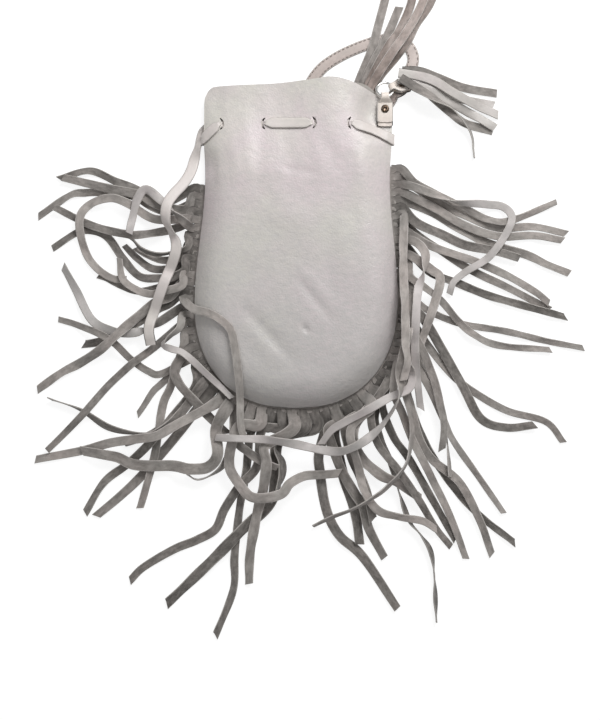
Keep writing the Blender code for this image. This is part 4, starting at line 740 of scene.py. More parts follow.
@dataclass
class Ribbon:
    """A strip of leather: a flat cross-section carried along a path and turned about it."""

    path: Array
    widths: Array
    thickness: float
    turns: Array | None = None
    across: Array | None = None
    cup: float = 0.0
    slant: float = 0.0
    tone: float = PLAIN_TONE

    def frames(self) -> tuple[Array, Array, Array]:
        """Directions along, across and up at each point: across is level unless given, then both turn.

        Returns:
            The three directions, a row for each point.
        """
        ahead = tangents(self.path)
        if self.across is None:
            side = unit(np.cross(ahead, (0.0, 0.0, 1.0)))
        else:
            side = unit(self.across - (self.across * ahead).sum(axis=1)[:, None] * ahead)
        up = np.cross(side, ahead)
        if self.turns is not None:
            cos, sin = np.cos(self.turns)[:, None], np.sin(self.turns)[:, None]
            side, up = side * cos + up * sin, up * cos - side * sin
        return ahead, side, up

    def add_to(self, skin: Skin, first: int = 0, last: int | None = None) -> None:
        """Adds the strip to a skin, whole or from one point of its path to another.

        Each ring point is the path's point, plus the across direction times half the width times the
        outline's share, plus the up direction times half the thickness and the cup, which grows with the
        square of the distance from the middle. The last ring slants along the path.

        Args:
            skin: what to add to.
            first: number of the first point.
            last: number of the last point; the path's last unless given.
        """
        ahead, side, up = self.frames()
        half = self.widths[:, None, None] / 2 * ACROSS[None, :, None]
        lift = RISE[None, :, None] * self.thickness / 2 + self.cup * (ACROSS[None, :, None] ** 2 - 0.33)
        rings = self.path[:, None, :] + side[:, None, :] * half + up[:, None, :] * lift
        rings[-1] += ahead[-1] * (ACROSS * self.slant * self.widths[-1] / 2)[:, None]
        part = slice(first, len(rings) if last is None else last + 1)
        along = np.broadcast_to(run(self.path)[:, None], rings.shape[:2])
        own = np.full(rings.shape[:2], TONE_APART * self.tone)
        marks = np.stack([along, half[..., 0], own], axis=-1)[part]
        rings = rings[part]
        count, ring, start = len(rings), len(ACROSS), skin.count
        faces = grid_faces(count, ring, closed=True)
        skin.add(rings, faces, np.tile(RING_SLOTS, count - 1), self.tone, marks)
        skin.add_faces(START_CAP + start, EDGE)
        skin.add_faces(START_CAP[:, ::-1] + start + (count - 1) * ring, EDGE)


# The pouch's form.


@dataclass(frozen=True)
class Fold:
    """A soft fold of a panel: a long bump or hollow between two photo pixels."""

    start: tuple[float, float]
    end: tuple[float, float]
    width: float
    height: float

    def rise(self, x: Array, y: Array) -> Array:
        """Height times a bell curve of the distance from the fold's line, narrower towards its ends.

        Args:
            x, y: places.

        Returns:
            The rise at each.
        """
        a, b = on_table((self.start, self.end))
        along = ((x - a[0]) * (b - a)[0] + (y - a[1]) * (b - a)[1]) / ((b - a) @ (b - a))
        t = np.clip(along, 0.0, 1.0)
        apart = np.hypot(x - a[0] - (b - a)[0] * t, y - a[1] - (b - a)[1] * t)
        fade = 1.0 - 0.8 * (2.0 * t - 1.0) ** 2
        return self.height * fade * np.exp(-((apart / self.width) ** 2))


FOLDS = (
    Fold((243, 306), (292, 360), 4.6, -1.25), Fold((236, 316), (284, 368), 6.0, 0.5),
    Fold((295, 275), (332, 322), 3.4, -0.8), Fold((304, 271), (340, 314), 5.5, 0.45),
    Fold((385, 272), (395, 316), 3.0, -0.7), Fold((302, 325), (309, 333), 1.6, -1.7),
    Fold((222, 132), (232, 196), 5.5, -0.7), Fold((208, 150), (213, 188), 4.5, -1.0),
    Fold((244, 98), (252, 190), 6.0, 0.55), Fold((262, 134), (256, 206), 6.0, -0.4),
    Fold((314, 132), (322, 188), 6.0, 0.5), Fold((322, 132), (340, 176), 6.0, -0.45),
    Fold((350, 134), (366, 190), 7.0, 0.5), Fold((372, 150), (378, 215), 5.0, -0.6),
    Fold((288, 136), (292, 180), 6.0, -0.5), Fold((268, 214), (318, 226), 10.0, 0.8),
    Fold((232, 250), (262, 300), 12.0, -0.5), Fold((340, 215), (352, 290), 10.0, 0.6),
    Fold((352, 92), (366, 128), 5.0, -0.8), Fold((214, 92), (222, 122), 5.0, -0.5),
    Fold((262, 88), (262, 116), 7.0, 0.5), Fold((300, 84), (306, 116), 7.0, 0.5),
    Fold((280, 168), (322, 176), 3.0, -0.45), Fold((350, 330), (366, 372), 6.0, 0.5),
    Fold((214, 330), (240, 372), 5.0, -0.6), Fold((330, 232), (330, 300), 8.0, -0.4),
)


@dataclass(frozen=True)
class PouchForm:
    """Sizes of the sewn body and the formulas of its panels."""

    width: float = 152.6
    neck_width: float = 138.6
    mouth_width: float = 141.0
    widest_y: float = -40.0
    bottom_y: float = -121.5
    mouth_y: float = 115.5
    roundness: float = 2.3
    leather: float = 1.2
    gap: float = 0.3
    belly_rise: float = 12.5
    roll: float = 25.0
    roll_power: float = 2.2
    corner_round: float = 4.0
    corner_turn: float = 7.0
    curl: float = 14.0
    band_room: float = 1.5
    gape: float = 9.0
    gape_low: float = 3.0
    gape_x: float = 28.0
    gape_reach: float = 28.0
    edge_low: float = 2.4
    edge_top: float = 4.8
    fringe_left_y: float = 47.0
    fringe_right_y: float = 61.0
    slot_y: float = 91.0
    front_slots: tuple[float, ...] = (-56.0, -22.5, 13.2, 41.6)
    back_slots: tuple[tuple[float, float], ...] = ((-58.0, 93.5), (58.0, 82.0))
    tab_x: float = 67.4
    tab_rivet_y: float = 102.5
    tab_reach: float = 18.0

    def centre_x(self, y: Array) -> Array:
        """The outline's middle leans a little to the right towards the mouth."""
        return 2.5 * (y - self.bottom_y) / (self.mouth_y - self.bottom_y)

    def half_width(self, y: Array) -> Array:
        """Half the width: a super-ellipse for the bottom, less a smooth waist, plus a smooth mouth.

        Args:
            y: places along the pouch.

        Returns:
            Half the width at each.
        """
        depth = np.clip((self.widest_y - y) / (self.widest_y - self.bottom_y), 0.0, 1.0)
        bowl = self.width / 2 * (1.0 - depth**self.roundness) ** (1.0 / self.roundness)
        neck = (self.width - self.neck_width) / 2 * smooth(self.widest_y, 50.0, y)
        return bowl - neck + (self.mouth_width - self.neck_width) / 2 * smooth(50.0, 85.0, y)

    def left_x(self, y: Array) -> Array:
        """Left edge, rounded in at the corner of the mouth."""
        corner = self.corner_round * smooth(self.mouth_y - 11.0, self.mouth_y + 4.0, y) ** 2
        return self.centre_x(y) - self.half_width(y) + corner

    def right_x(self, y: Array) -> Array:
        """Right edge, turned in at the corner of the mouth."""
        return self.centre_x(y) + self.half_width(y) - self.corner_turn * smooth(94.0, 112.0, y)

    def outline(self) -> Array:
        """The sewn edge as points about 1 mm apart, down the left, round the bottom and up the right.

        Returns:
            The edge's places.
        """
        side = np.linspace(self.mouth_y, self.widest_y, 157)[:-1]
        bowl = self.widest_y + (self.bottom_y - self.widest_y) * np.sin(np.linspace(0.0, math.pi / 2, 130))
        y = np.concatenate([side, bowl])
        left = np.stack([self.left_x(y), y], axis=1)
        right = np.stack([self.right_x(y), y], axis=1)[::-1][1:]
        return resample(np.concatenate([left, right]), 1.0)

    def edge_distance(self, x: Array, y: Array) -> Array:
        """Distance of each point from the nearest point of the sewn edge.

        Args:
            x, y: places.

        Returns:
            The distance at each.
        """
        x, y = np.broadcast_arrays(np.asarray(x, float), np.asarray(y, float))
        flat, edge = np.stack([x.ravel(), y.ravel()], axis=1), self.outline()
        near = [np.sqrt(((part[:, None, :] - edge[None, :, :]) ** 2).sum(axis=2).min(axis=1))
                for part in np.array_split(flat, max(1, len(flat) // 4000))]
        return np.concatenate(near).reshape(x.shape)

    def edge_lift(self, y: Array) -> Array:
        """Height of the back panel's underside at the seam, higher at the neck."""
        return self.edge_low + (self.edge_top - self.edge_low) * smooth(62.0, 76.0, y)

    def back_under(self, x: Array, y: Array) -> Array:
        """Underside of the back: flat, lifted towards the mouth, curling up near its edge.

        Args:
            x, y: places.

        Returns:
            The height at each.
        """
        lift = self.edge_top * smooth(50.0, 74.0, y)
        curl = (1.0 - np.clip(self.edge_distance(x, y) / self.curl, 0.0, 1.0)) ** 2
        return lift + (self.edge_lift(y) - lift) * curl

    def seam_gap(self, x: Array, y: Array) -> Array:
        """Space between the panels' edges: room for the fringe band, closing above its ends."""
        band_end = np.interp(x, (-70.0, 70.0), (self.fringe_left_y, self.fringe_right_y))
        return self.gap + self.band_room * (1.0 - smooth(1.5, 13.0, y - band_end))

    def belly(self, x: Array, y: Array) -> Array:
        """Rise of the front over its edge: even on the body, a bell at the mouth, pinched by the tab.

        Args:
            x, y: places.

        Returns:
            The rise at each.
        """
        gape = self.gape_low + self.gape * np.exp(-(((x - self.gape_x) / self.gape_reach) ** 2))
        rise = self.belly_rise + (gape - self.belly_rise) * smooth(52.0, 114.0, y)
        reach = ((x - self.tab_x) ** 2 + (y - self.tab_rivet_y + 3.5) ** 2) / self.tab_reach**2
        return rise * (1.0 - np.exp(-(reach**2)))

    def front_under(self, x: Array, y: Array) -> Array:
        """Underside of the front: the belly times a roll that rises steeply from the seam.

        Args:
            x, y: places.

        Returns:
            The height at each.
        """
        inward = np.clip(self.edge_distance(x, y) / self.roll, 0.0, 1.0)
        rolled = 1.0 - (1.0 - inward) ** self.roll_power
        at_seam = self.edge_lift(y) + self.seam_gap(x, y)
        low = self.edge_low + self.gap + self.band_room
        within = low + (self.edge_top - self.edge_low - self.band_room) * smooth(10.0, 100.0, y)
        base = at_seam + (within - at_seam) * inward
        return base + self.leather + self.belly(x, y) * rolled

    def front_normal(self, x: float, y: float) -> Array:
        """Unit normal of the front at one point, from slopes over 2 mm."""
        place = self.front_under(np.array([x + 1, x - 1, x, x]), np.array([y, y, y + 1, y - 1]))
        return unit(np.array([place[1] - place[0], place[3] - place[2], 2.0]))

    def over_front(self, x: float, y: float, height: float) -> Array:
        """A place at a height over the front's underside, with the direction across a lace there.

        Args:
            x, y: the place.
            height: height over the underside.

        Returns:
            A row of the place and the direction across.
        """
        normal = self.front_normal(x, y)
        place = np.array([x, y, float(self.front_under(x, y))]) + normal * height
        return np.concatenate([place, (0.0, normal[2], -normal[1])])

    def front_rim(self, share: Array) -> Array:
        """How far up the pouch the front's rim is, across the mouth.

        Args:
            share: share of the mouth's width, from the left.

        Returns:
            The rim's y at each.
        """
        corners = np.array([(0.0, self.mouth_y + 0.4), (0.018, 118.0), (0.05, 119.3), (0.2, 120.4),
                            (0.4, 121.5), (0.6, 124.0), (0.71, 125.2), (0.83, 121.5), (1.0, 110.5)])
        line = spline(corners * (100.0, 1.0), 0.5)
        return np.interp(share, line[:, 0] / 100.0, line[:, 1])

    def back_rim(self, share: Array) -> Array:
        """How far up the back's rim is, a little above the front's at the right."""
        return self.front_rim(share) + 4.6 * np.exp(-(((share - 0.9) / 0.08) ** 2)) - 0.6

    def relief(self, x: Array, y: Array) -> Array:
        """Soft folds of the front: the folds' bells and two slow waves, fading out at the seam.

        Args:
            x, y: places.

        Returns:
            The rise at each.
        """
        folds = sum(fold.rise(x, y) for fold in FOLDS)
        waves = 0.22 * np.sin(x / 13.0 + y / 29.0) * np.sin(y / 19.0 - x / 37.0 + 1.3)
        return (folds + waves) * smooth(1.0, 9.0, self.edge_distance(x, y))


# What lies on the table.


@dataclass
class Heap:
    """Height of everything laid so far, on a square grid over the table."""

    cell: float = 0.5
    low: tuple[float, float] = (-230.0, -320.0)
    high: tuple[float, float] = (240.0, 260.0)
    step: float = 0.45
    reach: int = 6
    slope: float = 0.42
    settle: float = 7.0

    def __post_init__(self) -> None:
        """Starts with the bare table."""
        shape = ((np.array(self.high) - np.array(self.low)) / self.cell).astype(int)
        self.top = np.zeros(tuple(shape))

    def cells(self, places: Array) -> tuple[Array, Array]:
        """Grid indices of places.

        Args:
            places: places, in rows.

        Returns:
            The cells' numbers in x and in y.
        """
        found = np.round((places[..., :2] - np.array(self.low)) / self.cell).astype(int)
        found = np.clip(found, 0, np.array(self.top.shape) - 1)
        return found[..., 0], found[..., 1]

    def stamp(self, places: Array, heights: Array) -> None:
        """Raises the cells at the places to at least these heights."""
        np.maximum.at(self.top, self.cells(places), heights)

    def add_pouch(self, form: PouchForm) -> None:
        """Adds the front panel and the fringe band beside the seam.

        Args:
            form: the pouch's form.
        """
        x, y = np.meshgrid(np.arange(-84.0, 88.0, self.cell), np.arange(-130.0, 128.0, self.cell),
                           indexing="ij")
        inside = (x > form.left_x(y)) & (x < form.right_x(y)) & (y > form.bottom_y)
        apart = form.edge_distance(x, y)
        top = form.front_under(x, y) + form.leather + 0.4
        low_side = y < np.where(x < 0, form.fringe_left_y, form.fringe_right_y)
        band = np.where(low_side & (apart < 4.0), form.edge_low + 3.3, 0.0)
        rim = np.where(apart < 1.2, form.edge_lift(y) + 3.4, 0.0)
        self.stamp(np.stack([x, y], axis=-1), np.where(inside, top, np.maximum(band, rim)))

    def add_strap(self, line: Array, across: Array, width: float, thickness: float) -> None:
        """Adds a strap by places over its whole width, 0.4 mm apart along it.

        Args:
            line: its middle line.
            across: the direction across it at each point.
            width: its width.
            thickness: its thickness.
        """
        fine = resample(np.column_stack([line, across]), 0.4)
        count = 21
        spread = np.linspace(-0.5, 0.5, count)[None, :, None] * width
        top = np.repeat(fine[:, 2:3] + thickness / 2 + 0.1, count, axis=1)
        self.stamp(fine[:, None, :3] + fine[:, None, 3:] * spread, top)

    def lay(self, path: Array, widths: Array, thickness: float, turns: Array, start: float, lead: float,
            clearance: float = 0.2) -> Array:
        """Lays a strip over the heap.

        The strip needs, at each point, the greatest height below its own width, plus half its standing
        height. The need is widened by a moving maximum, kept from falling faster than a slope, and
        averaged over the same reach, so the strip runs over what it crosses in a soft hump.

        Args:
            path: places on the table, evenly apart.
            widths: the strip's width at each place.
            thickness: its thickness.
            turns: its turn about its length, in radians.
            start: height of its first point.
            lead: length at the start that isn't held up by what lies there.
            clearance: air between strips.

        Returns:
            The height of the strip's middle at each place.
        """
        length = run(path)
        along = np.arange(0.0, length[-1] + self.step, self.step)
        places = np.stack([np.interp(along, length, column) for column in path.T], axis=1)
        turn, width = np.interp(along, length, turns), np.interp(along, length, widths)
        wide = (width * np.abs(np.cos(turn)) + thickness * np.abs(np.sin(turn))) / 2
        tall = (width * np.abs(np.sin(turn)) + thickness * np.abs(np.cos(turn))) / 2
        ahead = tangents(places)
        side = np.stack([ahead[:, 1], -ahead[:, 0]], axis=1)
        spread = np.linspace(-1.05, 1.05, 17)
        print_area = places[:, None, :] + side[:, None, :] * (spread[None, :] * wide[:, None])[..., None]
        below = self.top[self.cells(print_area)].max(axis=1)
        need = below + tall + clearance
        need[along < lead] = start
        held = window(need, self.reach).max(axis=1)
        fall = self.slope * along
        held = np.maximum(np.maximum.accumulate(held + fall) - fall,
                          np.maximum.accumulate((held - fall)[::-1])[::-1] + fall)
        eased = window(held, self.reach).mean(axis=1)
        heights = start + (eased - start) * smooth(0.3 * lead, lead + self.settle, along)
        top = np.broadcast_to((heights + tall)[:, None], print_area.shape[:2])
        self.stamp(print_area, top)
        return np.interp(length, along, heights)


# Sub-assemblies.


@dataclass(frozen=True)
class Bend:
    """Two bodies that share a joint, and two places in millimetres, given for a piece that is baked in place.
    """

    bodies: tuple[str, str]
    start: tuple[float, float, float]
    end: tuple[float, float, float]

    def apply(self, piece: Piece) -> None:
        """Bakes the piece's place into its mesh."""
        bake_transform(piece)


@dataclass
class Panels:
    """Front and back of the pouch."""

    form: PouchForm
    materials: Materials
    columns: int = 132
    rows: int = 200
    slot_length: float = 9.0
    slot_width: float = 1.6
    slot_bow: float = 2.1

    def grid(self, rim: Height) -> tuple[Array, Array]:
        """A grid over the outline: rows run from the rim, across the body, into the round bottom.

        Args:
            rim: function that gives the rim's y at a share of the width.

        Returns:
            The x and y of each grid point.
        """
        even = np.linspace(0.0, 1.0, self.columns)
        share = 0.6 * even + 0.4 * (1.0 - np.cos(math.pi * even)) / 2
        rim_start = 78.0
        t = np.linspace(1.0, 0.0, self.rows // 5)[:-1, None]
        left_y = rim_start + (self.form.mouth_y - rim_start) * t
        right_y = rim_start + (float(rim(1.0)) - rim_start) * t
        left, right = self.form.left_x(left_y), self.form.right_x(right_y)
        upper_x, upper_y = left + (right - left) * share, rim_start + (rim(share) - rim_start) * t
        body = np.linspace(rim_start, self.form.widest_y, self.rows // 2)[:-1]
        bowl = np.sin(np.radians(np.linspace(0.0, 88.6, 3 * self.rows // 10)))
        y = np.concatenate([body, self.form.widest_y + (self.form.bottom_y - self.form.widest_y) * bowl])
        y = np.repeat(y[:, None], self.columns, axis=1)
        left, right = self.form.left_x(y), self.form.right_x(y)
        return np.concatenate([upper_x, left + (right - left) * share]), np.concatenate([upper_y, y])

    def closed_sheet(self, skin: Skin, low: Array, high: Array, outer: int) -> None:
        """Adds a sheet: its upper grid, its lower grid and a wall between their borders.

        Args:
            skin: the skin to add to.
            low: the underside's grid of points.
            high: the upper side's grid of points.
            outer: material number of the upper side; the underside has the other of 0 and 1.
        """
        rows, columns = low.shape[:2]
        grid, size, first = grid_faces(rows, columns), rows * columns, skin.count
        skin.add(high, grid[:, ::-1], outer)
        skin.add(low, grid, 1 - outer)
        index = np.arange(size).reshape(rows, columns)
        border = np.concatenate([index[0, :-1], index[:-1, -1], index[-1, :0:-1], index[:0:-1, 0]])
        following = np.roll(border, -1)
        wall = np.stack([border, following, following + size, border + size], axis=1)
        skin.add_faces(wall + first, EDGE)

    def slot_cutter(self, name: str, x: float, y: float, bow: float) -> Piece:
        """A thin bowed slit as an upright solid: an arc of circle-ended width, from below to above.

        Args:
            name: its name.
            x, y: its middle.
            bow: bow of its middle to the left.

        Returns:
            The solid.
        """
        half = 15
        t = np.linspace(-1.0, 1.0, half)
        wide = self.slot_width / 2 * np.sqrt(np.clip(1.0 - t**6, 0.03, 1.0))
        middle = x - bow * (1.0 - t**2)
        outline = np.concatenate([np.stack([middle + wide, y + t * self.slot_length / 2], axis=1),
                                  np.stack([middle - wide, y + t * self.slot_length / 2], axis=1)[::-1]])
        size = 2 * half
        low, high = np.full((size, 1), 3.0), np.full((size, 1), 30.0)
        rings = np.stack([np.hstack([outline, low]), np.hstack([outline, high])])
        skin = Skin()
        skin.add(rings, grid_faces(2, size, closed=True), 0)
        j = np.arange(half - 1)
        floor = np.stack([j, j + 1, size - 2 - j, size - 1 - j], axis=1)
        skin.add_faces(floor[:, ::-1], 0)
        skin.add_faces(floor + size, 0)
        return skin.mesh(name, [])

    def panel(self, name: str, under: Height, rim: Height, slots: list[tuple[float, float, float]]
              ) -> Piece:
        """One panel with its thickness and slots.

        Args:
            name: the piece's name.
            under: function that gives the underside's height at x and y.
            rim: function that gives the rim's y at a share of the width.
            slots: x, y and bow of each slot.

        Returns:
            The panel, with its outer side, its inner side and its cut edge in three materials.
        """
        x, y = self.grid(rim)
        low = under(x, y)
        skin = Skin()
        high = np.stack([x, y, low + self.form.leather], axis=-1)
        outer = UPPER if name.startswith("front") else LOWER
        self.closed_sheet(skin, np.stack([x, y, low], axis=-1), high, outer)
        shades = [self.materials[key] for key in ("pearl_leather", "pearl_inside", "cut_edge")]
        panel = skin.mesh(name, shades, sharp=60.0)
        cutters = []
        for i, (slot_x, slot_y, bow) in enumerate(slots):
            cutters.append(self.slot_cutter(f"{name}_slot_{i + 1}", slot_x, slot_y, bow))
            cut = panel.modifiers.new(f"slot_{i + 1}", "BOOLEAN")
            cut.operation, cut.solver, cut.object = "DIFFERENCE", "EXACT", cutters[-1]
        graph = bpy.context.evaluated_depsgraph_get()
        finished = bpy.data.meshes.new_from_object(panel.evaluated_get(graph))
        panel.modifiers.clear()
        panel.data = finished
        for cutter in cutters:
            bpy.data.objects.remove(cutter)
        return panel

    def build(self) -> list[Piece]:
        """Both panels, in place of their solids.

        Returns:
            The two panels.
        """
        form = self.form
        bows = (-self.slot_bow, self.slot_bow, -self.slot_bow, self.slot_bow)
        front_slots = [(x, form.slot_y, bow) for x, bow in zip(form.front_slots, bows)]
        front = self.panel("front_leather", lambda x, y: form.front_under(x, y) + form.relief(x, y),
                           form.front_rim, front_slots)
        back = self.panel("back_leather", form.back_under, form.back_rim,
                          [(x, y, 0.0) for x, y in form.back_slots])
        for piece, node in ((front, "front_panel"), (back, "back_panel")):
            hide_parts(node)
            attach(piece, "pouch")
        return [front, back]


@dataclass
class Fringe:
    """Suede band in the seam, cut into strips that lie over each other round the pouch.

    The slit is the pitch less a strip's width; it is below zero, so roots lap over each other.
    """

    form: PouchForm
    heap: Heap
    materials: Materials
    side_pitch: float = 5.9
    bottom_pitch: float = 7.4
    slit: float = -0.85
    thickness: float = 1.05
    band_inside: float = 6.0
    band_outside: float = 4.5
    straight: float = 4.5
    bottom_straight: float = 6.5
    louvre: float = 16.0
    fan: float = 0.2
    clear: float = 9.0
    step: float = 1.7
    seed: int = 7
    sections: tuple[tuple[str, float], ...] = (
        ("fringe_left_upper", 0.18), ("fringe_left_lower", 0.34), ("fringe_bottom", 0.64),
        ("fringe_right_lower", 0.82), ("fringe_right_upper", 1.0),
    )

    def __post_init__(self) -> None:
        """Finds the stretch of the seam that holds the fringe."""
        edge = self.form.outline()
        left = int(np.argmax(edge[:, 1] < self.form.fringe_left_y))
        right = len(edge) - int(np.argmax(edge[::-1, 1] < self.form.fringe_right_y))
        self.seam = edge[left:right]
        ahead = tangents(self.seam)
        self.outward = np.stack([ahead[:, 1], -ahead[:, 0]], axis=1)
        self.length = run(self.seam)
        self.draw = random.Random(self.seed)

    def on_seam(self, length: Array | float, offset: float) -> Array:
        """Places at lengths along the fringed seam, moved outward by an offset.

        Args:
            length: lengths along the seam.
            offset: distance outward.

        Returns:
            The places.
        """
        place = np.stack([np.interp(length, self.length, column) for column in self.seam.T], axis=-1)
        out = np.stack([np.interp(length, self.length, column) for column in self.outward.T], axis=-1)
        return place + unit(out) * offset

    def band_height(self, y: Array | float) -> Array:
        """Height of the middle of the band between the panels' edges."""
        return self.form.edge_lift(y) + self.form.leather + self.form.gap + self.thickness / 2

    def roots(self) -> tuple[Array, Array]:
        """Middle and width of each strip's root. Their density along the seam is one over the pitch.

        Returns:
            The middles, as lengths along the seam, and the widths.
        """
        wider = smooth(-80.0, -112.0, self.seam[:, 1])
        pitch = self.side_pitch + (self.bottom_pitch - self.side_pitch) * wider
        density = (1.0 / pitch[1:] + 1.0 / pitch[:-1]) / 2
        counted = np.concatenate([[0.0], np.cumsum(density * np.diff(self.length))])
        total = int(counted[-1])
        middles = np.interp((np.arange(total) + 0.5) * counted[-1] / total, counted, self.length)
        return middles, np.interp(middles, self.length, pitch) - self.slit

    def assign(self, middles: Array) -> dict[int, tuple[int, float, Route]]:
        """Gives each route the free root nearest to its first point, in order along the seam.

        Args:
            middles: middles of the roots.

        Returns:
            Layer, turn and route of each root that has one.
        """
        wanted = []
        for layer, turn, route in STRIP_ROUTES:
            start = on_table(route[:1])[0]
            nearest = self.length[np.argmin(((self.seam - start) ** 2).sum(axis=1))]
            wanted.append((float(nearest), layer, turn, route))
        wanted.sort(key=lambda entry: entry[0])
        slots = [int(np.argmin(np.abs(middles - entry[0]))) for entry in wanted]
        for i in range(1, len(slots)):
            slots[i] = max(slots[i], slots[i - 1] + 1)
        slots[-1] = min(slots[-1], len(middles) - 1)
        for i in range(len(slots) - 2, -1, -1):
            slots[i] = min(slots[i], slots[i + 1] - 1)
        return {slot: entry[1:] for slot, entry in zip(slots, wanted)}

    def routed(self, middle: float, route: Route) -> Array:
        """Path of a strip on the table: straight out of its root, then through the route's points.

        Args:
            middle: length along the seam to the root's middle.
            route: the strip's photo pixels.

        Returns:
            Even places along the strip. Roots at the round bottom stay straight for longer.
        """
        height = float(self.on_seam(middle, 0.0)[1])
        straight = self.straight + self.bottom_straight * float(smooth(-85.0, -112.0, height))
        start = self.on_seam(middle, self.band_outside + straight)
        rest = on_table(route[1:])
        rest = rest[np.linalg.norm(rest - start, axis=1) > self.clear]
        return spline(np.vstack([self.on_seam(middle, 1.0), self.on_seam(middle, self.band_outside), start,
                                 rest]), self.step)

    def between(self, slot: int, middles: Array, paths: dict[int, Array]) -> Array:
        """Path of a strip that no route names: a mean of its neighbours', which ends short of them.

        Args:
            slot: the root's number.
            middles: middles of the roots.
            paths: paths of the strips with a route.

        Returns:
            Even places along the strip.
        """
        before = max((k for k in paths if k < slot), default=min(paths))
        after = min((k for k in paths if k > slot), default=max(paths))
        share = 0.5 if before == after else (slot - before) / (after - before)
        t = np.linspace(0.0, self.draw.uniform(0.62, 0.82), 14)
        drift = 0.0
        for k, weight in ((before, 1.0 - share), (after, share)):
            path = paths[k] - paths[k][0]
            along = np.linspace(0.0, 1.0, len(path))
            drift = drift + weight * np.stack([np.interp(t, along, column) for column in path.T], axis=1)
        return spline(self.on_seam(middles[slot], 1.0) + drift, self.step)

    def turns(self, path: Array, turn: float, lean: float) -> Array:
        """Turn along a strip: a louvre's lean near its root, a slow sway, and its own turn further out.

        Args:
            path: places along the strip.
            turn: its own turn, in degrees.
            lean: 1 or -1, the side to which roots lean.

        Returns:
            The turn at each, in radians.
        """
        length = run(path)
        share = length / length[-1]
        near_root = smooth(1.0, 6.0, length) * (1.0 - smooth(14.0, 34.0, length))
        louvre = math.radians(self.louvre * lean) * near_root
        swing, wave = self.draw.uniform(8.0, 30.0), self.draw.uniform(34.0, 75.0)
        sway = math.radians(swing) * np.sin(length / wave * 2 * math.pi + self.draw.uniform(0.0, 6.0))
        return louvre + sway * smooth(12.0, 40.0, length) + math.radians(turn) * smooth(0.12, 0.45, share)

    def band(self, skin: Skin, start: float, end: float) -> None:
        """The uncut part of the band between two lengths of the seam, as a ribbon across the seam.

        Args:
            skin: what to add to.
            start: where the band starts.
            end: where it ends.
        """
        length = np.arange(start, end, 1.5)
        middle = self.on_seam(length, (self.band_outside - self.band_inside) / 2)
        across = np.column_stack([self.on_seam(length, 1.0) - self.on_seam(length, 0.0),
                                  np.zeros(len(length))])
        path = np.column_stack([middle, self.band_height(self.on_seam(length, 0.0)[:, 1])])
        widths = np.full(len(length), self.band_outside + self.band_inside)
        Ribbon(path, widths, self.thickness - 0.1, across=across).add_to(skin)

    def build(self) -> list[Piece]:
        """Lays every strip, from the lowest layer up, and makes one piece for each length of band.

        Returns:
            The pieces, in order along the seam.
        """
        middles, widths = self.roots()
        named = self.assign(middles)
        paths = {slot: self.routed(middles[slot], entry[2]) for slot, entry in named.items()}
        plain = {slot: paths[slot] for slot, entry in named.items() if entry[0] < 2}
        strips = []
        for slot in range(len(middles)):
            if slot in named:
                strips.append((*named[slot][:2], slot, paths[slot]))
            else:
                strips.append((0, self.draw.uniform(-12.0, 12.0), slot, self.between(slot, middles, plain)))
        ribbons: dict[int, Ribbon] = {}
        for layer, turn, slot, path in sorted(strips, key=lambda s: (s[0], s[2] % 2, s[2])):
            taper = np.interp(np.linspace(0.0, 1.0, len(path)), (0.0, 0.7, 1.0), (1.0, 0.96, 0.8))
            own = 1.0 + (self.draw.uniform(0.8, 1.12) - 1.0) * smooth(6.0, 24.0, run(path))
            fan = self.fan * float(smooth(-60.0, -105.0, self.on_seam(middles[slot], 0.0)[1]))
            wide = widths[slot] * taper * own * (1.0 + fan * (1.0 - smooth(13.0, 26.0, run(path))))
            lean = 1.0 if slot < 0.5 * len(middles) else -1.0
            turns = self.turns(path, turn, lean)
            start = float(self.band_height(self.on_seam(middles[slot], 0.0)[1]))
            heights = self.heap.lay(path, wide, self.thickness, turns, start, 6.0)
            # A strip's tone differs at random, and is more in lower layers: painted shade from the strips
            # over them.
            ribbons[slot] = Ribbon(np.column_stack([path, heights]), wide, self.thickness, turns,
                                   cup=self.draw.uniform(-0.2, 0.4), slant=self.draw.uniform(-0.9, 0.9),
                                   tone=self.draw.uniform(0.4, 1.45) - 0.3 * min(layer, 3))
        reaches = [float(run(ribbon.path)[-1]) for ribbon in ribbons.values()]
        LOG.info("fringe has %d strips of %.0f to %.0f mm on %.0f mm of seam", len(reaches), min(reaches),
                 max(reaches), self.length[-1])
        pieces = []
        first = 0
        shades = [self.materials[key] for key in ("suede", "strip_grain", "cut_edge")]
        for name, share in self.sections:
            last = int(round(share * len(middles)))
            skin = Skin()
            self.band(skin, middles[first] - widths[first] / 2, middles[last - 1] + widths[last - 1] / 2)
            for slot in range(first, last):
                ribbons[slot].add_to(skin)
            piece = skin.mesh(name + "_strips", shades, sharp=38.0)
            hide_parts(name)
            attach(piece, "pouch")
            pieces.append(piece)
            first = last
        return pieces


